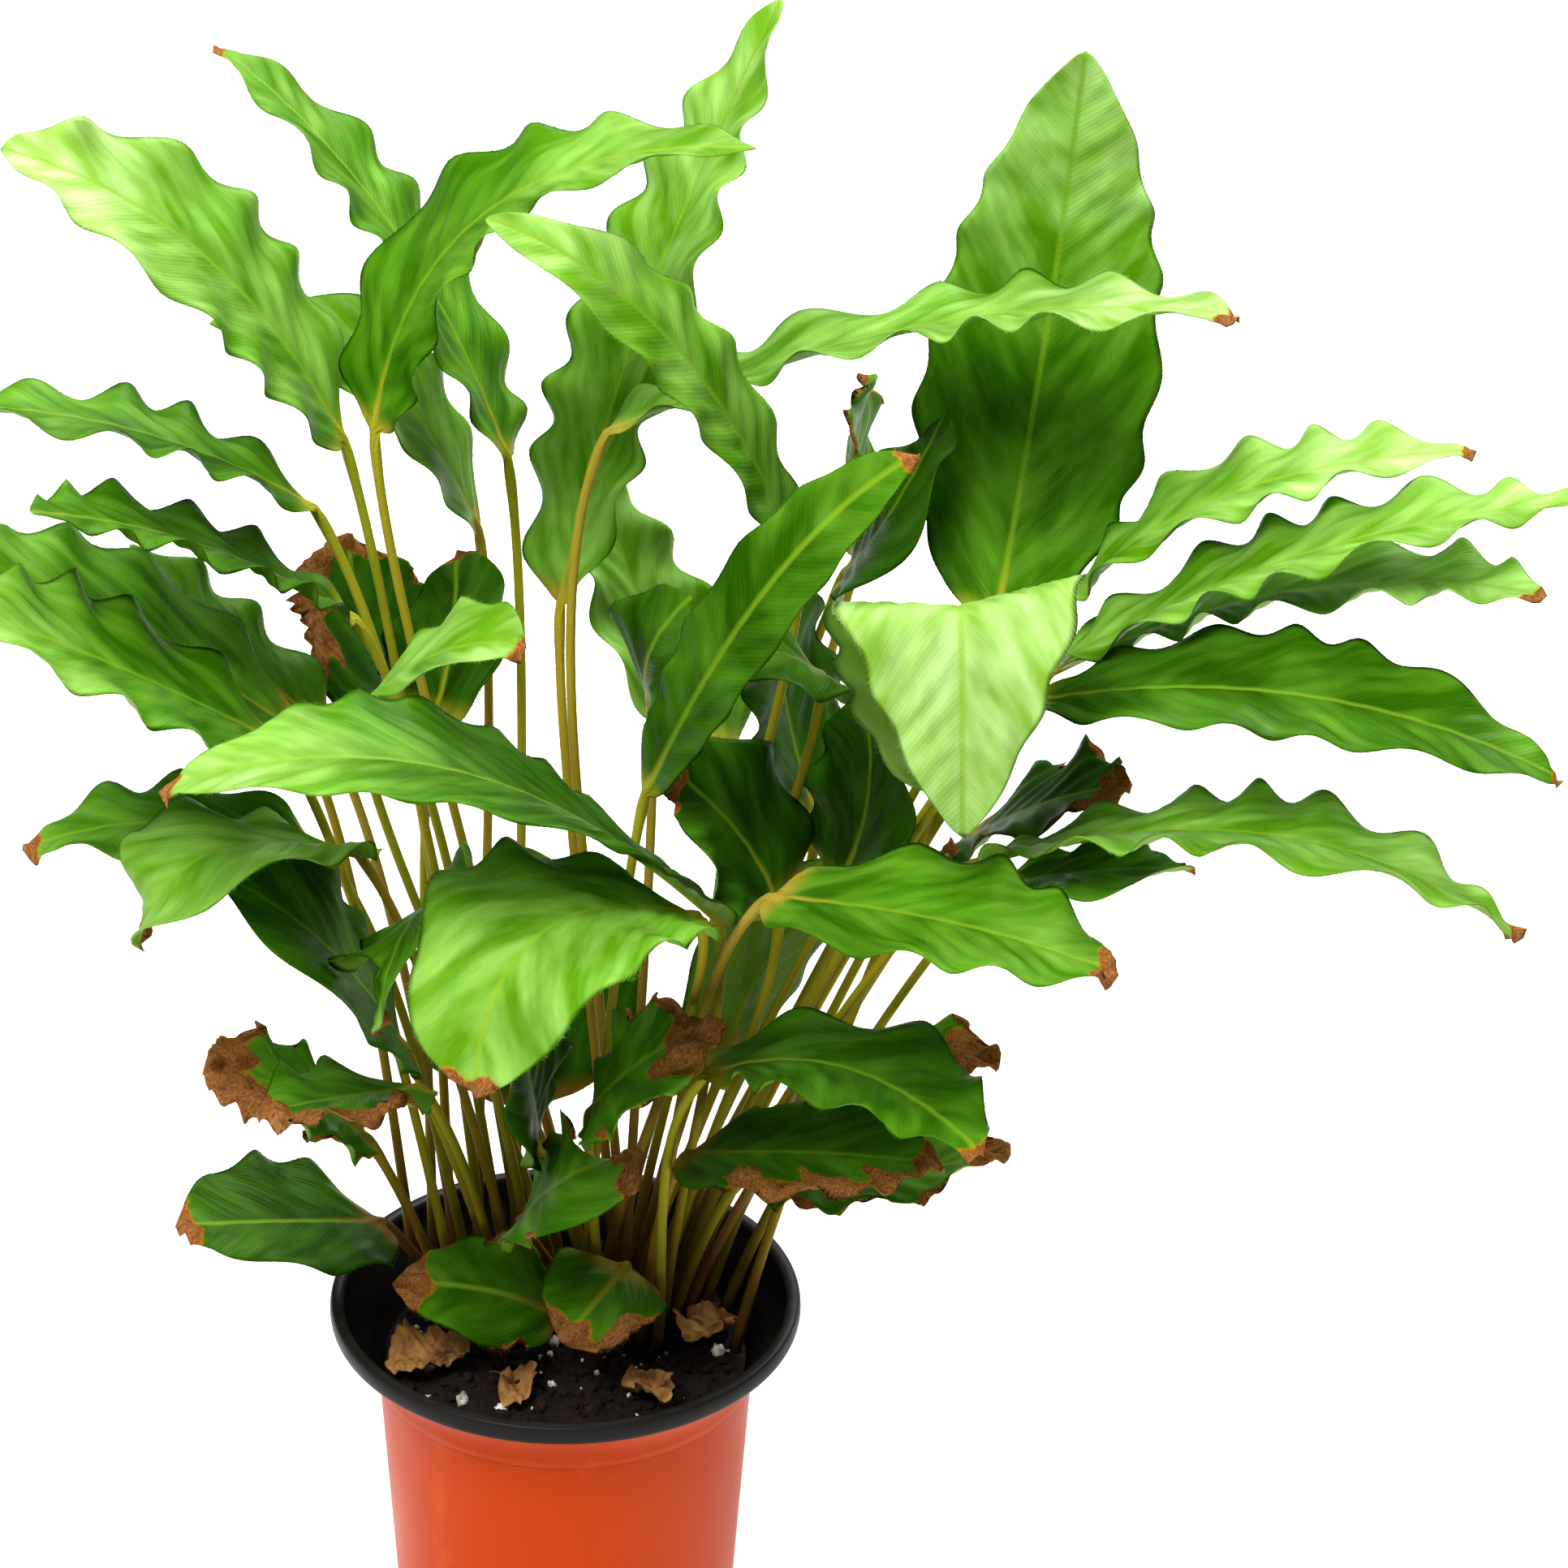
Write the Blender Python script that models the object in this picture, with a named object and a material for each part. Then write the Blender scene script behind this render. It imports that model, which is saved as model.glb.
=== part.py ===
"""Potted calathea: a clump of wavy lance-shaped leaves in a two-tone nursery pot.

The pot is one thin plastic shell. It is filled with soil to a little below the rim, a few
dead leaves lie on the soil, and every living leaf (blade and stalk in one piece, as it
grew) stands in the soil by its own foot. Units in this file are millimetres; they are
turned to metres where a mesh is made. +Z is up and the pot's base stands on z = 0.
"""

import math
from dataclasses import dataclass

import bpy
import numpy as np

MM = 0.001
GAP = 0.3

# Pot: a four-inch nursery pot.
RIM_RADIUS = 54.0
RIM_HEIGHT = 92.0
BASE_RADIUS = 38.6
WALL = 1.2
LIP_WIDTH = 3.6
LIP_DROP = 4.6
COLLAR_HEIGHT = 74.0
COLLAR_RADIUS = 44.4
COLLAR_STEP = 1.2
FLOOR = 1.6
POT_SEGMENTS = 64

# Soil.
SOIL_TOP = 77.0
SOIL_SEGMENTS = 48

# Leaves.
STALK_RADIUS = 1.05
FOOT_RADIUS = 1.5
BLADE_HALF_THICKNESS = 0.35
MIDRIB_HALF_THICKNESS = 0.8
STALK_RINGS = 5
RING_SPACING = 8.1
BASE_POWER = 0.5
TIP_POWER = 0.7
WAVE_HEIGHT = 1.8
FOLD = 0.14
# A blade's section as (reach towards an edge, layer): +1 is the left edge or the upper face.
BLADE_SECTION = ((1, 0), (0.5, 1), (0, 1), (-0.5, 1), (-1, 0), (-0.5, -1), (0, -1), (0.5, -1))


@dataclass(frozen=True)
class Leaf:
    """One leaf: where it stands, where its blade runs, and how the blade is turned.

    foot is its place on the soil. start, middle and tip are points of the blade's midrib.
    width is the blade's widest measure. facing is the direction its upper face looks,
    as (compass angle from +X, angle above the horizon), and twist is how far the blade
    turns about its midrib from start to tip, in degrees.
    """

    name: str
    foot: tuple
    start: tuple
    middle: tuple
    tip: tuple
    width: float
    facing: tuple
    twist: float = 0.0


LEAVES = (
    Leaf("leaf_left_high_1", (-19, 21),
         (-50, 35, 289), (-78, 22, 337), (-117, 10, 364), 48, (-15, 40)),
    Leaf("leaf_left_high_2", (-2, 26),
         (-42, 20, 298), (-17, 11, 352), (39, -14, 377), 38, (-163, 45), -65),
    Leaf("leaf_back_left_1", (-13, 28),
         (-16, 62, 273), (-44, 87, 319), (-83, 98, 356), 40, (-5, 40)),
    Leaf("leaf_back_left_2", (-22, 25),
         (-23, 67, 253), (-48, 66, 294), (-83, 72, 300), 42, (-10, 55)),
    Leaf("leaf_left_mid_1", (-14, 20),
         (-54, 8, 285), (-88, 2, 304), (-128, -6, 313), 38, (30, 70)),
    Leaf("leaf_left_mid_2", (-10, 25),
         (-45, 0, 263), (-75, -16, 287), (-104, -55, 312), 36, (30, 60)),
    Leaf("leaf_left_broad_1", (-35, 17),
         (-58, 4, 233), (-93, -12, 265), (-129, -24, 286), 54, (-10, 65)),
    Leaf("leaf_left_broad_2", (-24, 5),
         (-58, -30, 248), (-89, -58, 280), (-119, -74, 301), 48, (10, 50)),
    Leaf("leaf_left_broad_3", (-24, 17),
         (-54, 22, 224), (-74, 26, 242), (-97, 30, 265), 36, (0, 50)),
    Leaf("leaf_front_left_tongue", (22, 6),
         (34, -33, 210), (-19, -74, 266), (-77, -84, 265), 50, (10, 80)),
    Leaf("leaf_left_low_1", (-21, 13),
         (-52, -10, 211), (-84, -18, 222), (-115, -24, 218), 34, (15, 85)),
    Leaf("leaf_left_low_2", (-10, 10),
         (-43, -26, 220), (-70, -58, 237), (-85, -68, 220), 44, (135, 85)),
    Leaf("leaf_left_low_3", (-16, 16),
         (-34, -24, 171), (-50, -47, 211), (-74, -48, 228), 46, (0, 35)),
    Leaf("leaf_front_left_small", (-7, 17),
         (-26, -29, 211), (-31, -62, 220), (-36, -67, 201), 38, (-175, 45)),
    Leaf("leaf_front_hanging", (7, 18),
         (30, -58, 225), (-1, -89, 237), (-13, -108, 210), 54, (-125, 85)),
    Leaf("leaf_front_inner", (7, 11),
         (-6, -3, 137), (-7, -25, 166), (-12, -31, 190), 32, (-15, 0)),
    Leaf("leaf_front_right_broad", (18, 7),
         (45, -55, 228), (82, -73, 233), (116, -84, 228), 48, (145, 85)),
    Leaf("leaf_right_underside", (14, 11),
         (36, 1, 156), (45, 9, 177), (65, 22, 195), 44, (135, 10)),
    Leaf("leaf_right_low_1", (21, 0),
         (32, -46, 179), (61, -53, 186), (89, -90, 189), 42, (130, 75)),
    Leaf("leaf_right_low_2", (17, 2),
         (28, -22, 144), (55, -38, 155), (84, -48, 159), 42, (170, 80)),
    Leaf("leaf_right_low_3", (24, 10),
         (43, -7, 131), (72, -21, 139), (99, -26, 151), 36, (160, 70)),
    Leaf("leaf_right_low_4", (27, 13),
         (66, -6, 163), (81, -20, 170), (96, -26, 174), 30, (150, 75)),
    Leaf("leaf_right_drooping", (39, 0),
         (82, 5, 225), (82, -47, 292), (84, -64, 248), 52, (-95, 60)),
    Leaf("leaf_right_upright", (24, 24),
         (93, 30, 251), (103, 68, 302), (108, 54, 375), 52, (-95, 7)),
    Leaf("leaf_right_high_1", (13, 16),
         (8, 15, 301), (74, 32, 320), (140, 6, 335), 40, (150, 70)),
    Leaf("leaf_centre_high", (13, 25),
         (50, 9, 273), (23, -19, 336), (-15, -25, 365), 25, (-30, 30)),
    Leaf("leaf_centre_diagonal", (3, 4),
         (18, -22, 234), (44, -46, 296), (73, -47, 326), 21, (-120, 30)),
    Leaf("leaf_centre_small_1", (15, 21),
         (55, 0, 252), (43, -19, 267), (30, -27, 267), 36, (5, 60)),
    Leaf("leaf_centre_dark", (20, 12),
         (47, -15, 202), (38, -14, 220), (23, -22, 240), 46, (-20, 20)),
    Leaf("leaf_back_right_small_1", (16, 35),
         (63, 85, 241), (61, 67, 278), (59, 25, 277), 30, (-10, -5)),
    Leaf("leaf_back_right_small_2", (9, 26),
         (60, 58, 249), (70, 40, 273), (81, 55, 289), 34, (-160, 40)),
    Leaf("leaf_back_centre", (19, 24),
         (33, 32, 218), (17, 52, 236), (3, 72, 268), 44, (-25, 40)),
    Leaf("leaf_back_high", (11, 20),
         (-3, 36, 250), (14, 62, 308), (43, 92, 372), 46, (-155, 30)),
    Leaf("leaf_right_far_1", (21, 29),
         (108, 36, 251), (139, 21, 286), (192, 7, 305), 38, (170, 60)),
    Leaf("leaf_right_far_2", (31, 15),
         (103, 5, 252), (154, -11, 288), (212, -25, 309), 40, (155, 80)),
    Leaf("leaf_right_far_3", (27, 28),
         (105, 14, 247), (156, 2, 274), (202, -40, 294), 38, (150, 70)),
    Leaf("leaf_right_far_4", (23, 15),
         (99, -18, 256), (153, -44, 272), (207, -54, 259), 42, (85, 95)),
    Leaf("leaf_right_mid_1", (31, 21),
         (89, 26, 199), (104, 0, 222), (122, -13, 234), 36, (170, 55)),
    Leaf("leaf_right_far_5", (26, 19),
         (88, -24, 220), (146, -60, 248), (199, -72, 232), 42, (95, 80)),
    Leaf("leaf_right_mid_2", (36, 15),
         (93, -11, 208), (114, -37, 226), (134, -39, 228), 34, (150, 70)),
    Leaf("leaf_left_brown_1", (-27, 10),
         (-44, -10, 139), (-61, -30, 164), (-76, -40, 173), 34, (5, 45)),
    Leaf("leaf_left_brown_2", (-14, 12),
         (-31, -24, 161), (-48, -48, 172), (-63, -58, 174), 30, (55, 70)),
    Leaf("leaf_left_over_rim", (-28, 15),
         (-43, 8, 105), (-63, -10, 116), (-86, -22, 122), 42, (0, 70)),
    Leaf("leaf_in_pot_round", (-8, 5),
         (-2, -5, 89), (-17, -12, 100), (-39, -10, 100), 28, (-60, 50)),
    Leaf("leaf_in_pot_pointed", (9, -2),
         (14, -8, 105), (8, -18, 102), (0, -25, 95), 30, (-90, 65)),
    Leaf("leaf_base_crumpled_1", (3, 12),
         (-11, 5, 108), (2, -33, 144), (16, -18, 141), 30, (-135, 50)),
    Leaf("leaf_base_crumpled_2", (8, 4),
         (6, -17, 151), (19, -45, 182), (36, -45, 192), 32, (-165, 30)),
    Leaf("leaf_left_pale", (-2, 18),
         (-43, -16, 249), (-25, -34, 272), (-6, -44, 279), 34, (165, 45)),
    Leaf("leaf_back_left_3", (-27, 20),
         (-40, 63, 208), (-49, 66, 227), (-54, 79, 246), 48, (-20, 65)),
    Leaf("leaf_back_left_4", (-32, 20),
         (-32, 40, 218), (-28, 50, 233), (-28, 67, 248), 42, (-155, 45)),
    Leaf("leaf_centre_small_2", (13, 7),
         (18, 12, 238), (18, 3, 255), (27, -2, 271), 28, (-150, 15)),
    Leaf("leaf_centre_back_1", (21, 19),
         (55, 31, 200), (47, 40, 226), (42, 38, 264), 44, (-25, 20)),
    Leaf("leaf_centre_back_2", (18, 16),
         (59, 4, 196), (66, 4, 221), (64, 10, 244), 42, (-150, 10)),
    Leaf("leaf_back_low", (2, 38),
         (-8, 50, 112), (-12, 60, 140), (-14, 74, 168), 54, (-90, 25)),
)


@dataclass(frozen=True)
class DeadLeaf:
    """A dry, curled leaf scrap lying on the soil: place, size, heading and curl."""

    name: str
    place: tuple
    length: float
    width: float
    heading: float
    curl: float
    tilt: float = 0.0


DEAD_LEAVES = (
    DeadLeaf("dead_leaf_front_left", (-31.0, -11.0, 81.5), 21.0, 16.0, 20.0, 3.0, 14.0),
    DeadLeaf("dead_leaf_front", (-10.0, -21.0, 80.0), 17.0, 9.0, 80.0, 2.2),
    DeadLeaf("dead_leaf_front_right", (20.0, -21.0, 80.5), 18.0, 10.0, 115.0, 2.6),
    DeadLeaf("dead_leaf_right", (32.0, 2.0, 82.0), 18.0, 14.0, 70.0, 3.0),
)


def unit(vector):
    """Vector scaled to length one, along the last axis."""
    vector = np.asarray(vector, float)
    return vector / np.linalg.norm(vector, axis=-1, keepdims=True)


def direction(compass, rise):
    """Unit vector at a compass angle from +X and an angle above the horizon, in degrees."""
    a = math.radians(compass)
    e = math.radians(rise)
    return np.array([math.cos(a) * math.cos(e), math.sin(a) * math.cos(e), math.sin(e)])


def turned(vectors, axes, angles):
    """Vectors turned about unit axes by angles in radians (Rodrigues' formula)."""
    c = np.cos(angles)[:, None]
    s = np.sin(angles)[:, None]
    along = np.sum(vectors * axes, axis=1)[:, None]
    return vectors * c + np.cross(axes, vectors) * s + axes * along * (1 - c)


def blade_midrib(leaf, u):
    """Midrib points: the parabola through start (u = 0), middle (0.5) and tip (1)."""
    start, middle, tip = (np.array(p, float) for p in (leaf.start, leaf.middle, leaf.tip))
    pull = 2 * middle - (start + tip) / 2
    u = u[:, None]
    return (1 - u) ** 2 * start + 2 * u * (1 - u) * pull + u ** 2 * tip


def stalk_line(leaf, u):
    """Stalk points: a Bezier curve that leaves the soil steeply and bends into the blade."""
    foot = np.array([leaf.foot[0], leaf.foot[1], SOIL_TOP + GAP])
    start = np.array(leaf.start, float)
    reach = start - foot
    length = np.linalg.norm(reach)
    ends = blade_midrib(leaf, np.array([0.0, 0.08]))
    rise = unit(reach / length + np.array([0.0, 0.0, 0.5]))
    bend = unit(reach / length + 0.7 * unit(ends[1] - ends[0]))
    knee = foot + rise * 0.35 * length
    neck = start - bend * 0.2 * length
    u = u[:, None]
    return ((1 - u) ** 3 * foot + 3 * u * (1 - u) ** 2 * knee
            + 3 * u ** 2 * (1 - u) * neck + u ** 3 * start)


def blade_half_width(leaf, u):
    """Half width along a lance-shaped blade: u ** BASE_POWER * (1 - u) ** TIP_POWER, scaled."""
    widest = BASE_POWER / (BASE_POWER + TIP_POWER)
    peak = widest ** BASE_POWER * (1 - widest) ** TIP_POWER
    return leaf.width / 2 * u ** BASE_POWER * (1 - u) ** TIP_POWER / peak


def leaf_frames(points, leaf, turn):
    """Side and face vectors at each point, turned about the leaf's line by turn radians.

    The blade's face looks where the leaf says. Down the stalk the frame is carried along
    from the blade without spinning, and the first ring lies level on the soil.
    """
    tangent = unit(np.gradient(points, axis=0))
    tangent[0] = (0, 0, 1)
    side = unit(np.cross(direction(*leaf.facing), tangent))
    side = turned(side, tangent, turn)
    for ring in reversed(range(STALK_RINGS)):
        above = side[ring + 1]
        side[ring] = unit(above - tangent[ring] * np.dot(above, tangent[ring]))
    return side, np.cross(tangent, side)


def leaf_rings(leaf):
    """Rings of eight points from the leaf's foot to just before its tip.

    A stalk ring is round. A blade ring is flat, with sharp edges, a thicker midrib, a
    shallow V fold, and edges that ripple up and down from ring to ring.
    """
    length = (math.dist(leaf.start, leaf.middle) + math.dist(leaf.middle, leaf.tip))
    blade_rings = max(6, round(length / RING_SPACING))
    v = np.linspace(0, 0.97, STALK_RINGS)
    u = (np.arange(blade_rings) + 0.5) / (blade_rings + 0.3)
    points = np.vstack([stalk_line(leaf, v), blade_midrib(leaf, u)])
    turn = np.radians(leaf.twist) * np.concatenate([np.full(STALK_RINGS, -0.5), u - 0.5])
    side, face = leaf_frames(points, leaf, turn)

    stalk = np.interp(v, (0, 0.3, 1), (FOOT_RADIUS, STALK_RADIUS, STALK_RADIUS))
    angles = np.arange(8) * math.pi / 4
    round_across = stalk[:, None] * np.cos(angles)
    round_lift = stalk[:, None] * np.sin(angles)

    half = blade_half_width(leaf, u)[:, None]
    midrib = np.interp(u, (0, 0.4, 1), (STALK_RADIUS, MIDRIB_HALF_THICKNESS, 0.3))[:, None]
    reach, layer = np.array(BLADE_SECTION).T
    thickness = np.where(reach == 0, midrib, BLADE_HALF_THICKNESS)
    ripple = WAVE_HEIGHT * np.minimum(1, half / 12) * (-1.0) ** np.arange(blade_rings)[:, None]
    flat_across = half * reach
    flat_lift = layer * thickness + ripple * reach * np.abs(reach) + FOLD * half * np.abs(reach)

    across = np.vstack([round_across, flat_across])[:, :, None]
    lift = np.vstack([round_lift, flat_lift])[:, :, None]
    rings = points[:, None, :] + side[:, None, :] * across + face[:, None, :] * lift
    return rings, np.array(leaf.tip, float)


def loft(rings, tip):
    """Vertices and faces of a closed skin over the rings, flat at the foot, pointed at tip.

    The upper and lower sides are split along the same diagonals, so that the two walls of a
    rippled blade stay parallel and never cross.
    """
    count, spokes = rings.shape[:2]
    vertices = np.vstack([rings.reshape(-1, 3), tip])
    faces = [tuple(range(spokes))[::-1]]
    for ring in range(count - 1):
        for spoke in range(spokes):
            a = ring * spokes + spoke
            b = ring * spokes + (spoke + 1) % spokes
            if spoke < spokes // 2:
                faces.append((a, b, b + spokes))
                faces.append((a, b + spokes, a + spokes))
            else:
                faces.append((a, b, a + spokes))
                faces.append((b, b + spokes, a + spokes))
    last = (count - 1) * spokes
    for spoke in range(spokes):
        faces.append((last + spoke, last + (spoke + 1) % spokes, count * spokes))
    return vertices, faces


def turned_body(profile, segments):
    """Vertices and faces of a body turned about Z from (radius, height) profile points.

    The profile runs from the axis at the bottom, out and up, and back to the axis.
    """
    angles = np.arange(segments) * 2 * math.pi / segments
    body = np.array(profile[1:-1], float)
    circles = np.stack([body[:, 0, None] * np.cos(angles), body[:, 0, None] * np.sin(angles),
                        np.repeat(body[:, 1, None], segments, axis=1)], axis=2)
    ends = [(0.0, 0.0, profile[0][1]), (0.0, 0.0, profile[-1][1])]
    vertices = np.vstack([circles.reshape(-1, 3), ends])
    bottom = len(vertices) - 2
    top = len(vertices) - 1
    faces = []
    for k in range(segments):
        m = (k + 1) % segments
        faces.append((bottom, m, k))
        for row in range(len(body) - 1):
            faces.append((row * segments + k, row * segments + m,
                          (row + 1) * segments + m, (row + 1) * segments + k))
        last = (len(body) - 1) * segments
        faces.append((last + k, last + m, top))
    return vertices, faces


def wall_radius(height):
    """Outer radius of the pot's tapered wall, below the collar."""
    taper = (COLLAR_RADIUS - COLLAR_STEP - BASE_RADIUS) / COLLAR_HEIGHT
    return BASE_RADIUS + taper * height


def pot_profile():
    """The shell's section: base, tapered wall, collar, flared neck, rolled lip, inside."""
    lip_bottom = RIM_HEIGHT - LIP_DROP
    return [
        (0, 0), (BASE_RADIUS - 1.2, 0), (BASE_RADIUS, 1.2),
        (wall_radius(COLLAR_HEIGHT), COLLAR_HEIGHT), (COLLAR_RADIUS, COLLAR_HEIGHT + 0.8),
        (COLLAR_RADIUS + 1.2, COLLAR_HEIGHT + 7), (RIM_RADIUS - 2.6, lip_bottom),
        (RIM_RADIUS - 0.7, lip_bottom), (RIM_RADIUS, lip_bottom + 0.8),
        (RIM_RADIUS, RIM_HEIGHT - 1.2), (RIM_RADIUS - 0.9, RIM_HEIGHT - 0.2),
        (RIM_RADIUS - 1.8, RIM_HEIGHT), (RIM_RADIUS - LIP_WIDTH, RIM_HEIGHT - 0.5),
        (RIM_RADIUS - LIP_WIDTH - 0.6, lip_bottom + 0.6),
        (COLLAR_RADIUS + 1.2 - WALL, COLLAR_HEIGHT + 7.6),
        (COLLAR_RADIUS - WALL, COLLAR_HEIGHT + 0.8),
        (wall_radius(COLLAR_HEIGHT) - WALL, COLLAR_HEIGHT - 0.6),
        (wall_radius(FLOOR) - WALL, FLOOR), (0, FLOOR),
    ]


def soil_profile():
    """The soil's section: it fills the shell, a gap clear of it, with an eased top edge."""
    floor = FLOOR + GAP
    return [
        (0, floor), (wall_radius(floor) - WALL - GAP, floor),
        (wall_radius(COLLAR_HEIGHT - 1.5) - WALL - GAP, COLLAR_HEIGHT - 1.5),
        (wall_radius(COLLAR_HEIGHT - 1.5) - WALL - GAP, SOIL_TOP - 1.2),
        (wall_radius(COLLAR_HEIGHT - 1.5) - WALL - GAP - 1.5, SOIL_TOP), (0, SOIL_TOP),
    ]


def dead_leaf_rings(scrap):
    """Rings of a dry scrap: a thin oval sheet, curled across and arched along its length."""
    count = 7
    u = (np.arange(count) + 0.5) / (count + 0.3)
    place = np.array(scrap.place)
    along = direction(scrap.heading, scrap.tilt)
    side = unit(np.cross((0, 0, 1), along))
    face = np.cross(along, side)
    half = scrap.width / 2 * np.sin(math.pi * (0.08 + 0.9 * u)) ** 0.7
    reach, layer = np.array(BLADE_SECTION).T
    arch = scrap.curl * (np.sin(2 * math.pi * u) * 0.5)
    lift = (layer * 0.3 + arch[:, None]
            + scrap.curl * np.abs(reach) ** 2 * (half / half.max())[:, None])
    points = place + along * (scrap.length * (u - 0.5))[:, None]
    rings = (points[:, None, :] + side * (half[:, None] * reach)[:, :, None]
             + face * lift[:, :, None])
    return rings, place + along * scrap.length / 2


def material(name, colour, roughness):
    """A Principled material from a linear colour and a roughness."""
    result = bpy.data.materials.new(name)
    result.use_nodes = True
    shader = result.node_tree.nodes["Principled BSDF"]
    shader.inputs["Base Color"].default_value = (*colour, 1.0)
    shader.inputs["Roughness"].default_value = roughness
    shader.inputs["Metallic"].default_value = 0.0
    return result


def add_piece(name, vertices, faces, surface, sharp_degrees=60):
    """One named object from millimetre vertices, shaded smooth."""
    mesh = bpy.data.meshes.new(name)
    mesh.from_pydata((vertices * MM).tolist(), [], faces)
    mesh.materials.append(surface)
    mesh.validate()
    mesh.shade_smooth()
    mesh.set_sharp_from_angle(angle=math.radians(sharp_degrees))
    piece = bpy.data.objects.new(name, mesh)
    bpy.context.scene.collection.objects.link(piece)
    return piece


def main():
    """Build the pot, the soil, the dead leaves and every leaf."""
    for old in list(bpy.data.objects):
        bpy.data.objects.remove(old)
    plastic = material("two_tone_pot_plastic", (0.60, 0.09, 0.02), 0.45)
    compost = material("dark_compost", (0.02, 0.012, 0.007), 0.95)
    green = material("living_leaf", (0.07, 0.22, 0.02), 0.5)
    brown = material("dry_leaf", (0.23, 0.11, 0.05), 0.85)
    add_piece("pot", *turned_body(pot_profile(), POT_SEGMENTS), plastic, 40)
    add_piece("soil", *turned_body(soil_profile(), SOIL_SEGMENTS), compost, 40)
    for scrap in DEAD_LEAVES:
        add_piece(scrap.name, *loft(*dead_leaf_rings(scrap)), brown)
    for leaf in LEAVES:
        add_piece(leaf.name, *loft(*leaf_rings(leaf)), green)


if __name__ == "__main__":
    main()
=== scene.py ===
"""Finished look of a potted calathea.

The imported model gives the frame: where the pot, the soil, each dead leaf and each living
leaf stand. Every one of them is rebuilt here as a fine surface worked out with numpy, in
the same place, and dressed in a procedural material. Shape sizes are in millimetres and
are turned to metres where a mesh is made. +Z is up, and the pot stands on z = 0.
"""

from __future__ import annotations

import logging
import math
from dataclasses import dataclass
from enum import Enum
import bpy
import numpy as np
from mathutils import Matrix, Vector


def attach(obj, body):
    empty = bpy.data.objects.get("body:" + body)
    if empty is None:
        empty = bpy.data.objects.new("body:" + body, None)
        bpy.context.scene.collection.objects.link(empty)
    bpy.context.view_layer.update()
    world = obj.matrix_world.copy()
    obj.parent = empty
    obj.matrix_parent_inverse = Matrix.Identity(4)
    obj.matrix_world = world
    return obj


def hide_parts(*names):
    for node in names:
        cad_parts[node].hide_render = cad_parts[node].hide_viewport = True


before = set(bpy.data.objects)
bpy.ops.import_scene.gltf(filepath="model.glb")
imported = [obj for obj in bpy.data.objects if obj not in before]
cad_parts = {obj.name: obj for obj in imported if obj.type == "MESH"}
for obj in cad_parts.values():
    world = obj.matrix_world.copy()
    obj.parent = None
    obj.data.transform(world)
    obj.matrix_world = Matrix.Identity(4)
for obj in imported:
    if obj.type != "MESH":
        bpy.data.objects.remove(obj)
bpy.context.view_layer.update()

LOG = logging.getLogger("potted_calathea")
MM = 0.001
GOLDEN_STEP = 0.618

Grid = np.ndarray
Feed = bpy.types.NodeSocket | float | tuple[float, ...]


# ---------------------------------------------------------------- small numeric helpers


def unit(vectors: Grid) -> Grid:
    """Vectors scaled to length one along the last axis."""
    vectors = np.asarray(vectors, float)
    return vectors / np.linalg.norm(vectors, axis=-1, keepdims=True)


def direction(compass: float, rise: float) -> Grid:
    """Unit vector at a compass angle from +X and an angle above the horizon.

    Args:
        compass: degrees anticlockwise from +X.
        rise: degrees above the horizon.

    Returns:
        The vector as three numbers.
    """
    a = math.radians(compass)
    e = math.radians(rise)
    return np.array([math.cos(a) * math.cos(e), math.sin(a) * math.cos(e), math.sin(e)])


def ease(x: Grid, low: float, high: float) -> Grid:
    """Smooth step: 0 below low, 1 above high, and 3t^2 - 2t^3 between them."""
    t = np.clip((np.asarray(x, float) - low) / (high - low), 0.0, 1.0)
    return t * t * (3.0 - 2.0 * t)


def roughness_field(points: Grid, size: float, seed: int, waves: int = 24) -> Grid:
    """Smooth random field: the mean of sine waves with random headings and phases.

    Args:
        points: places, with the coordinates on the last axis.
        size: the usual width of one bump, in the points' own units.
        seed: picks the waves.
        waves: how many waves are summed.

    Returns:
        One value per place, mostly between -1 and 1.
    """
    random = np.random.default_rng(seed)
    heading = unit(random.normal(size=(waves, points.shape[-1])))
    stretch = random.uniform(0.6, 1.7, size=(waves, 1)) * math.pi / size
    phase = random.uniform(0.0, 2.0 * math.pi, size=waves)
    return np.sin(points @ (heading * stretch).T + phase).sum(axis=-1) / math.sqrt(waves / 2)


def turned(vectors: Grid, axes: Grid, angles: Grid) -> Grid:
    """Vectors turned about unit axes: v cos a + (axis x v) sin a + axis (axis.v)(1 - cos a)."""
    c = np.cos(angles)[..., None]
    s = np.sin(angles)[..., None]
    along = np.sum(vectors * axes, axis=-1, keepdims=True)
    return vectors * c + np.cross(axes, vectors) * s + axes * along * (1.0 - c)


def ring_faces(rings: int, spokes: int) -> Grid:
    """Four-cornered faces of a tube of rings, each ring closed on itself.

    Args:
        rings: number of rings.
        spokes: points in each ring, anticlockwise seen from the tube's far end.

    Returns:
        One row of four point numbers per face, facing out.
    """
    ring, spoke = np.meshgrid(np.arange(rings - 1), np.arange(spokes), indexing="ij")
    beside = (spoke + 1) % spokes
    a = ring * spokes + spoke
    b = ring * spokes + beside
    return np.stack([a, b, b + spokes, a + spokes], axis=-1).reshape(-1, 4)


def fan_faces(first: int, spokes: int, pole: int, outward: bool) -> Grid:
    """Triangles that close a ring of points onto a pole point.

    Args:
        first: number of the ring's first point.
        spokes: points in the ring.
        pole: number of the pole point.
        outward: true at the tube's far end, false at its near end.

    Returns:
        One row of three point numbers per face, facing out.
    """
    spoke = np.arange(spokes)
    beside = (spoke + 1) % spokes
    tip = np.full(spokes, pole)
    if outward:
        return np.stack([first + spoke, first + beside, tip], axis=-1)
    return np.stack([first + beside, first + spoke, tip], axis=-1)


# ---------------------------------------------------------------- making pieces


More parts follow.
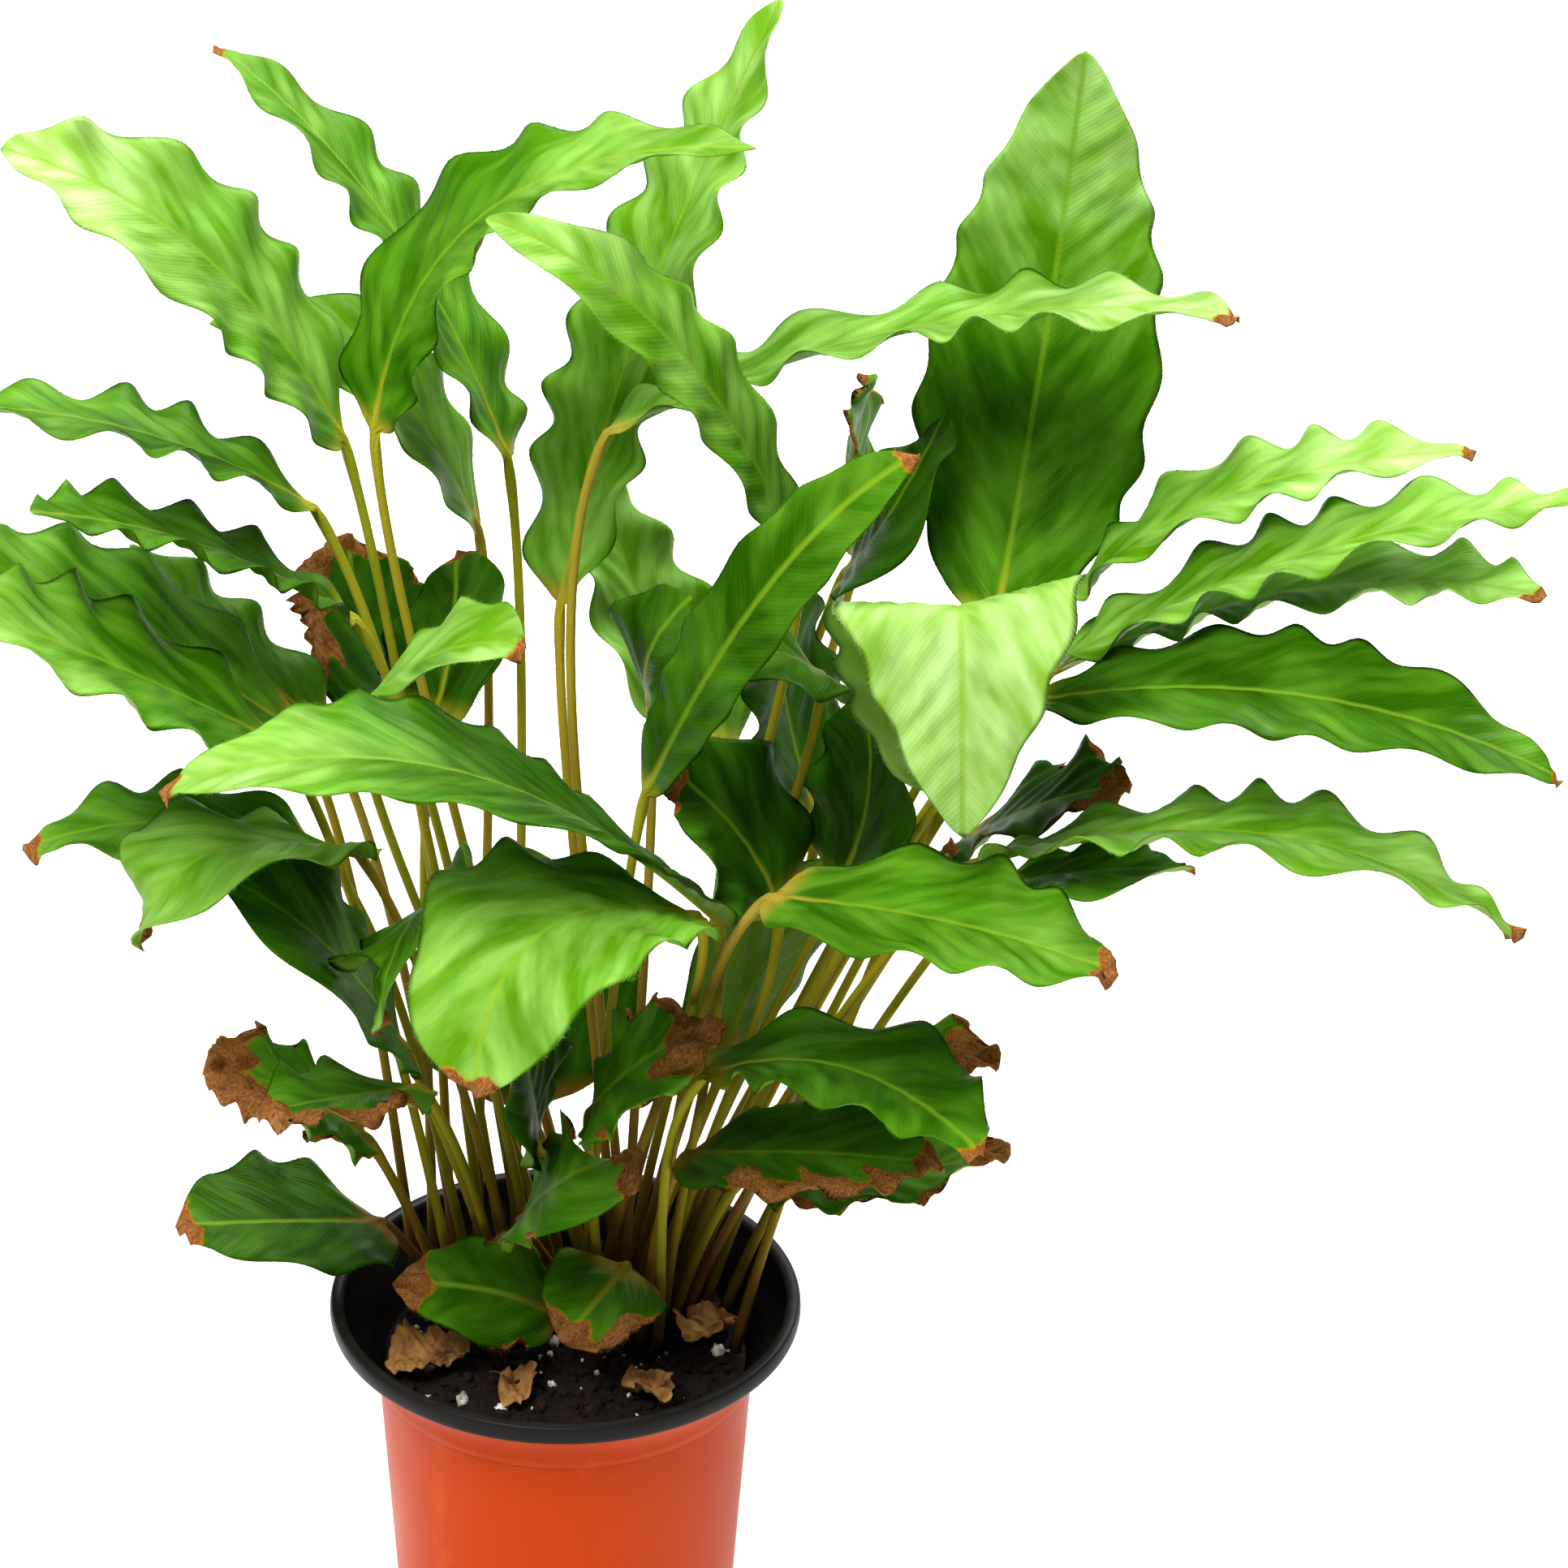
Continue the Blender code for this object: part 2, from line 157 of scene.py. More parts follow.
def make_piece(name: str, vertices: Grid, faces: list[Grid], surface: bpy.types.Material,
               attributes: dict[str, Grid] | None = None) -> bpy.types.Object:
    """Put whole arrays of points and faces into a new smooth-shaded object.

    Args:
        name: the object's name.
        vertices: points in millimetres.
        faces: arrays of faces, each array with one number of corners.
        surface: the material.
        attributes: per-point values by name, one or three numbers each.

    Returns:
        The new object, at the origin with its place in its mesh.
    """
    mesh = bpy.data.meshes.new(name)
    corners = [row for block in faces for row in block.tolist()]
    mesh.from_pydata((np.asarray(vertices) * MM).tolist(), [], corners)
    for key, values in (attributes or {}).items():
        values = np.asarray(values, np.float32)
        wide = values.ndim == 2
        layer = mesh.attributes.new(key, "FLOAT_VECTOR" if wide else "FLOAT", "POINT")
        layer.data.foreach_set("vector" if wide else "value", values.ravel())
    mesh.materials.append(surface)
    mesh.shade_smooth()
    mesh.update()
    piece = bpy.data.objects.new(name, mesh)
    bpy.context.scene.collection.objects.link(piece)
    return piece


def settle(piece: bpy.types.Object, node: str) -> bpy.types.Object:
    """Ride a piece on the one body, in place of its plain solid, and log it."""
    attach(piece, "root")
    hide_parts(node)
    LOG.info("%s: %d faces", piece.name, len(piece.data.polygons))
    return piece


# ---------------------------------------------------------------- materials


def linear(hex_colour: str) -> tuple[float, float, float, float]:
    """An sRGB hex colour as linear red, green, blue and alpha."""
    parts = np.array([int(hex_colour[k:k + 2], 16) for k in (1, 3, 5)]) / 255.0
    flat = np.where(parts <= 0.04045, parts / 12.92, ((parts + 0.055) / 1.055) ** 2.4)
    return (*flat.tolist(), 1.0)


def add_node(material: bpy.types.Material, kind: str, settings: dict | None = None,
             inputs: dict | None = None) -> bpy.types.ShaderNode:
    """Add one shader node, with its settings made and its sockets filled or linked.

    Args:
        material: the material whose tree gets the node.
        kind: the node's type name.
        settings: attributes to set on the node.
        inputs: by socket name or number, either another node's output or a plain value.

    Returns:
        The new node.
    """
    tree = material.node_tree
    made = tree.nodes.new(kind)
    for key, value in (settings or {}).items():
        setattr(made, key, value)
    for key, value in (inputs or {}).items():
        if isinstance(value, bpy.types.NodeSocket):
            tree.links.new(value, made.inputs[key])
        else:
            made.inputs[key].default_value = value
    return made


def ramp(material: bpy.types.Material, factor: bpy.types.NodeSocket,
         stops: list[tuple[float, str]]) -> bpy.types.NodeSocket:
    """A colour ramp with hex colours at the given places.

    Args:
        material: the material that gets the ramp.
        factor: the socket that picks the place on the ramp.
        stops: each stop's place from 0 to 1 and its sRGB hex colour.

    Returns:
        The ramp's colour socket.
    """
    made = add_node(material, "ShaderNodeValToRGB", inputs={"Fac": factor})
    band = made.color_ramp
    while len(band.elements) < len(stops):
        band.elements.new(0.5)
    for element, (place, colour) in zip(band.elements, stops):
        element.position = place
        element.color = linear(colour)
    return made.outputs["Color"]


def maths(material: bpy.types.Material, operation: str, *values: Feed) -> bpy.types.NodeSocket:
    """One Math node on up to three values or sockets; returns its result."""
    return add_node(material, "ShaderNodeMath", {"operation": operation},
                    dict(enumerate(values))).outputs[0]


def blend(material: bpy.types.Material, factor: Feed, first: Feed, second: Feed,
          mode: str = "MIX") -> bpy.types.NodeSocket:
    """Mix two colours by a factor; sockets 6 and 7 are the mix node's colour inputs."""
    mixed = add_node(material, "ShaderNodeMix", {"data_type": "RGBA", "blend_type": mode},
                     {0: factor, 6: first, 7: second})
    return mixed.outputs[2]


def blank(name: str) -> tuple[bpy.types.Material, bpy.types.ShaderNode]:
    """A new node material and its Principled shader."""
    material = bpy.data.materials.new(name)
    material.use_nodes = True
    return material, material.node_tree.nodes["Principled BSDF"]


def plug(material: bpy.types.Material, shader: bpy.types.ShaderNode, **values: Feed) -> None:
    """Set or link sockets of a shader.

    Args:
        material: the material that owns the shader.
        shader: the shader node.
        values: by socket name, with underscores for spaces: a value or another's output.
    """
    for key, value in values.items():
        socket = shader.inputs[key.replace("_", " ")]
        if isinstance(value, bpy.types.NodeSocket):
            material.node_tree.links.new(value, socket)
        else:
            socket.default_value = value


@dataclass(frozen=True)
class LeafTissue:
    """Living calathea leaf: satin green blade with painted sheen bands, pale midrib, fuzzy stalk,
    dry brown tips.
    """

    fresh_and_lit: str = "#93ba58"
    young: str = "#6ca01e"
    grown: str = "#427a04"
    old_and_shaded: str = "#244a00"
    fresh_sheen: str = "#bedb98"
    young_sheen: str = "#9dc468"
    grown_sheen: str = "#6fa02e"
    old_sheen: str = "#3e6f1a"
    midrib: str = "#87a82c"
    underside: str = "#7f9e38"
    stalk: str = "#a8a02c"
    stalk_foot: str = "#6e4028"
    vein_spacing: float = 1.5
    sheen_band_spacing: float = 11.0

    def build(self) -> bpy.types.Material:
        """Make the material from the leaf's own attributes.

        Returns:
            The finished material.
        """
        m, shader = blank("living_leaf_tissue")
        place = add_node(m, "ShaderNodeAttribute", {"attribute_name": "leaf_place"})
        state = add_node(m, "ShaderNodeAttribute", {"attribute_name": "leaf_state"})
        mood = add_node(m, "ShaderNodeAttribute", {"attribute_name": "leaf_mood"})
        at = add_node(m, "ShaderNodeSeparateXYZ", inputs={0: place.outputs["Vector"]})
        how = add_node(m, "ShaderNodeSeparateXYZ", inputs={0: state.outputs["Vector"]})
        kind = add_node(m, "ShaderNodeSeparateXYZ", inputs={0: mood.outputs["Vector"]})
        along, across, side = at.outputs[0], at.outputs[1], at.outputs[2]
        dry, stalk, under = how.outputs[0], how.outputs[1], how.outputs[2]
        age, number = kind.outputs[0], kind.outputs[1]

        # Feathered bands along the side veins: painted sheen, light streaks where the satin blade
        # would catch the lamps, between darker ones.
        reach = maths(m, "MULTIPLY_ADD", across, 0.95,
                      maths(m, "MULTIPLY", maths(m, "MULTIPLY", across, across), 0.018))
        vein_place = maths(m, "SUBTRACT", along, reach)
        sheen_band_at = add_node(m, "ShaderNodeCombineXYZ", inputs={
            0: maths(m, "DIVIDE", vein_place, self.sheen_band_spacing),
            1: maths(m, "MULTIPLY", side, 0.08), 2: maths(m, "MULTIPLY", number, 7.3)})
        sheen_bands = add_node(m, "ShaderNodeTexNoise", inputs={
            "Vector": sheen_band_at.outputs[0], "Scale": 1.0, "Detail": 2.0, "Roughness": 0.55})
        mottle = add_node(m, "ShaderNodeTexNoise", inputs={
            "Vector": place.outputs["Vector"], "Scale": 0.06, "Detail": 3.0})

        # Fine parallel veins, felt as ridges and seen as faint lines.
        vein_wave = maths(m, "SINE", maths(m, "MULTIPLY", vein_place,
                                           2.0 * math.pi / self.vein_spacing))
        # The colour scale from pale to dark: the blade's age, with painted light at the pale end
        # and painted shade at the dark end.
        green = ramp(m, age, [(0.0, self.fresh_and_lit), (0.14, self.young), (0.5, self.grown),
                              (1.0, self.old_and_shaded)])
        # The sheen colours: painted highlights for the light streaks, from pale to dark blades.
        sheen_colour = ramp(m, age, [(0.0, self.fresh_sheen), (0.14, self.young_sheen),
                              (0.5, self.grown_sheen), (1.0, self.old_sheen)])
        dark = blend(m, 1.0, green, (0.80, 0.84, 0.6, 1.0), "MULTIPLY")
        spread = add_node(m, "ShaderNodeMapRange", inputs={
            "Value": sheen_bands.outputs["Fac"], "From Min": 0.36, "From Max": 0.74})
        blade = blend(m, spread.outputs[0], dark, sheen_colour)
        patch = add_node(m, "ShaderNodeMapRange", inputs={
            "Value": mottle.outputs["Fac"], "From Min": 0.3, "From Max": 0.7,
            "To Min": 0.82, "To Max": 1.14})
        patch_colour = add_node(m, "ShaderNodeCombineColor", inputs={
            0: patch.outputs[0], 1: patch.outputs[0], 2: patch.outputs[0]})
        blade = blend(m, 1.0, blade, patch_colour.outputs[0], "MULTIPLY")
        line = maths(m, "MULTIPLY", maths(m, "MAXIMUM", vein_wave, 0.0), 0.05)
        blade = blend(m, line, blade, linear(self.midrib))

        # The pale midrib and the lighter, greyer underside.
        rib = add_node(m, "ShaderNodeMapRange", inputs={
            "Value": across, "From Min": 0.3, "From Max": 0.95, "To Min": 0.6, "To Max": 0.0})
        blade = blend(m, rib.outputs[0], blade, linear(self.midrib))
        blade = blend(m, maths(m, "MULTIPLY", under, 0.62), blade, linear(self.underside))

        # The stalk: olive yellow, redder near the soil, streaked along its length.
        streak_at = add_node(m, "ShaderNodeCombineXYZ", inputs={
            0: maths(m, "MULTIPLY", along, 0.03), 1: maths(m, "MULTIPLY", side, 3.0),
            2: number})
        streaks = add_node(m, "ShaderNodeTexNoise", inputs={
            "Vector": streak_at.outputs[0], "Scale": 1.0, "Detail": 3.0})
        stem = ramp(m, maths(m, "DIVIDE", along, 220.0),
                    [(0.0, self.stalk_foot), (0.2, "#92842a"), (0.6, self.stalk),
                     (1.0, "#b4b43a")])
        tint = ramp(m, number, [(0.0, "#7c841e"), (0.45, "#8e8424"), (0.8, "#8a522c"),
                                (1.0, "#94585a")])
        stem = blend(m, maths(m, "MULTIPLY", streaks.outputs["Fac"], 0.75), stem, tint)
        colour = blend(m, stalk, blade, stem)

        # Dry tissue: green turns yellow, then orange, then papery brown.
        speck = add_node(m, "ShaderNodeTexNoise", inputs={
            "Vector": place.outputs["Vector"], "Scale": 0.55, "Detail": 4.0})
        ragged = maths(m, "ADD", dry, maths(m, "MULTIPLY", maths(
            m, "SUBTRACT", speck.outputs["Fac"], 0.5), 0.35))
        withered = ramp(m, ragged, [(0.0, "#b9a418"), (0.34, "#b4842a"), (0.46, "#96643a"),
                                    (1.0, "#9c7248")])
        fibre = add_node(m, "ShaderNodeTexNoise", inputs={
            "Vector": place.outputs["Vector"], "Scale": 1.6, "Detail": 4.0, "Roughness": 0.65})
        fibre_tint = ramp(m, fibre.outputs["Fac"], [(0.3, "#98887a"), (0.5, "#d6ccc2"),
                                                    (0.7, "#ffffff")])
        withered = blend(m, 1.0, withered, fibre_tint, "MULTIPLY")
        withered = blend(m, 1.0, withered, (1.35, 1.35, 1.35, 1.0), "MULTIPLY")
        shown = add_node(m, "ShaderNodeMapRange", inputs={
            "Value": ragged, "From Min": 0.22, "From Max": 0.42})
        dried = maths(m, "MULTIPLY", shown.outputs[0], maths(m, "GREATER_THAN", dry, 0.02))
        colour = blend(m, dried, colour, withered)

        relief = maths(m, "MULTIPLY_ADD", vein_wave, 0.5, maths(
            m, "MULTIPLY", speck.outputs["Fac"], 0.9))
        bump = add_node(m, "ShaderNodeBump", inputs={
            "Strength": 0.22, "Distance": 0.00014, "Height": relief})
        gloss = add_node(m, "ShaderNodeMapRange", inputs={
            "Value": dried, "To Min": 0.42, "To Max": 0.85})
        plug(m, shader, Base_Color=colour, Roughness=gloss.outputs[0], Normal=bump.outputs[0],
             Specular_IOR_Level=0.12, Specular_Tint=linear("#d2ee8c"))
        # Light that comes through the blade, yellower than what it reflects.
        glow = blend(m, 1.0, colour, (1.35, 1.45, 0.7, 1.0), "MULTIPLY")
        through = add_node(m, "ShaderNodeBsdfTranslucent", inputs={
            "Color": glow, "Normal": bump.outputs[0]})
        mixed = add_node(m, "ShaderNodeMixShader", inputs={
            0: 0.28, 1: shader.outputs[0], 2: through.outputs[0]})
        m.node_tree.links.new(mixed.outputs[0],
                              m.node_tree.nodes["Material Output"].inputs["Surface"])
        return m


@dataclass(frozen=True)
class DryLeaf:
    """Dead leaf: papery brown, blotched, with darker veins and torn edges."""

    pale: str = "#ac8350"
    deep: str = "#4c2c14"

    def build(self) -> bpy.types.Material:
        """Make the papery material; blotches are 6 mm and fibres 0.8 mm wide."""
        m, shader = blank("dry_leaf_paper")
        spot = add_node(m, "ShaderNodeTexCoord").outputs["Object"]
        blotch = add_node(m, "ShaderNodeTexNoise", inputs={
            "Vector": spot, "Scale": 160.0, "Detail": 5.0, "Roughness": 0.6})
        fibre = add_node(m, "ShaderNodeTexNoise", inputs={
            "Vector": spot, "Scale": 1200.0, "Detail": 3.0})
        colour = ramp(m, blotch.outputs["Fac"], [
            (0.34, self.deep), (0.5, "#946a38"), (0.68, self.pale)])
        bump = add_node(m, "ShaderNodeBump", inputs={
            "Strength": 0.6, "Distance": 0.0003, "Height": fibre.outputs["Fac"]})
        plug(m, shader, Base_Color=colour, Roughness=0.85, Normal=bump.outputs[0])
        return m


@dataclass(frozen=True)
class Compost:
    """Damp peat: nearly black brown crumbs with a few reddish fibres."""

    deep: str = "#140903"
    crumb: str = "#42220c"
    name: str = "peat_compost"

    def build(self) -> bpy.types.Material:
        """Make the peat material; crumbs are 1 to 4 mm across."""
        m, shader = blank(self.name)
        spot = add_node(m, "ShaderNodeTexCoord").outputs["Object"]
        coarse = add_node(m, "ShaderNodeTexNoise", inputs={
            "Vector": spot, "Scale": 260.0, "Detail": 8.0, "Roughness": 0.7})
        fine = add_node(m, "ShaderNodeTexNoise", inputs={
            "Vector": spot, "Scale": 1500.0, "Detail": 5.0, "Roughness": 0.7})
        colour = ramp(m, coarse.outputs["Fac"], [
            (0.38, self.deep), (0.56, "#241006"), (0.70, self.crumb)])
        relief = maths(m, "MULTIPLY_ADD", fine.outputs["Fac"], 0.5, coarse.outputs["Fac"])
        bump = add_node(m, "ShaderNodeBump", inputs={
            "Strength": 1.0, "Distance": 0.0012, "Height": relief})
        plug(m, shader, Base_Color=colour, Roughness=0.92, Normal=bump.outputs[0])
        return m


@dataclass(frozen=True)
class Perlite:
    """Puffed volcanic glass: chalk white, faintly stained by the peat."""

    def build(self) -> bpy.types.Material:
        """Make the chalky material; stains are about 2 mm wide."""
        m, shader = blank("perlite_grain")
        spot = add_node(m, "ShaderNodeTexCoord").outputs["Object"]
        stain = add_node(m, "ShaderNodeTexNoise", inputs={
            "Vector": spot, "Scale": 500.0, "Detail": 4.0})
        colour = ramp(m, stain.outputs["Fac"], [(0.35, "#8d8478"), (0.55, "#e4e0d8")])
        plug(m, shader, Base_Color=colour, Roughness=0.9)
        return m


@dataclass(frozen=True)
class PotPlastic:
    """Thin moulded pot plastic in one colour, with faint scuffs and a fine satin grain; on the
    black plastic the scuffs are also a painted highlight.
    """

    name: str
    colour: str
    scuff_and_highlight: str
    roughness: float

    def build(self) -> bpy.types.Material:
        """Make the plastic; scuffs are 10 to 30 mm long and the grain is 0.3 mm."""
        m, shader = blank(self.name)
        spot = add_node(m, "ShaderNodeTexCoord").outputs["Object"]
        wipe = add_node(m, "ShaderNodeMapping", inputs={
            "Vector": spot, "Scale": (1.0, 1.0, 0.35)})
        scuff_and_highlight_noise = add_node(m, "ShaderNodeTexNoise", inputs={
            "Vector": wipe.outputs[0], "Scale": 55.0, "Detail": 6.0, "Roughness": 0.62})
        grain = add_node(m, "ShaderNodeTexNoise", inputs={
            "Vector": spot, "Scale": 2600.0, "Detail": 2.0})
        colour = ramp(m, scuff_and_highlight_noise.outputs["Fac"], [
            (0.35, self.colour), (0.62, self.colour), (0.85, self.scuff_and_highlight)])
        gloss = add_node(m, "ShaderNodeMapRange", inputs={
            "Value": scuff_and_highlight_noise.outputs["Fac"], "From Min": 0.3, "From Max": 0.7,
            "To Min": self.roughness - 0.06, "To Max": self.roughness + 0.08})
        bump = add_node(m, "ShaderNodeBump", inputs={
            "Strength": 0.15, "Distance": 0.00008, "Height": grain.outputs["Fac"]})
        plug(m, shader, Base_Color=colour, Roughness=gloss.outputs[0],
             Normal=bump.outputs[0], Specular_IOR_Level=0.12)
        return m


@dataclass(frozen=True)
class StudioPaper:
    """Matt white paper for the floor."""

    colour: str = "#f7f7f7"

    def build(self) -> bpy.types.Material:
        """Make the plain matt white."""
        m, shader = blank("studio_paper")
        plug(m, shader, Base_Color=linear(self.colour), Roughness=0.9)
        return m


# ---------------------------------------------------------------- living leaves


class AgeLightAndShade(Enum):
    """How old a blade is, as its place on the colour scale from pale to dark: the pale end also
    serves as painted light on lit blades and tips, and SHADED is painted shade on blades in
    shadow.
    """

    FRESH_AND_LIT = 0.02
    YOUNG = 0.25
    GROWN = 0.52
    OLD = 0.78
    SHADED = 0.97


class Wear(Enum):
    """How far a blade has dried: millimetres from the tip, and share of each half edge."""

    NONE = (0.0, 0.0, 0.0)
    SPECK = (1.4, 0.0, 0.0)
    TIP = (3.2, 0.0, 0.0)
    END = (8.0, 0.06, 0.06)
    LEFT_EDGE = (5.0, 0.30, 0.02)
    RIGHT_EDGE = (5.0, 0.02, 0.30)
    HALF = (15.0, 0.14, 0.10)


@dataclass(frozen=True)
class Leaf:
    """One leaf with its stalk: where it stands and runs, and how it is turned and worn.

    The midrib is the parabola through start, middle and tip. The stalk is a Bezier curve
    from the foot on the soil to start. facing is the direction of the blade's upper face,
    as a compass angle and a rise, and twist is its turn about the midrib from end to end.
    """

    name: str
    foot: tuple[float, float]
    start: tuple[float, float, float]
    middle: tuple[float, float, float]
    tip: tuple[float, float, float]
    width: float
    facing: tuple[float, float]
    twist: float = 0.0
    # The blade's place on the colour scale: its age, with painted light and painted shade mixed
    # in.
    age: AgeLightAndShade = AgeLightAndShade.GROWN
    wear: Wear = Wear.TIP
    wave: float = 1.0
    # Painted light: how much the blade pales towards its tip, and darkens at its base, as if lit
    # from above.
    painted_tip_light: float = 0.12
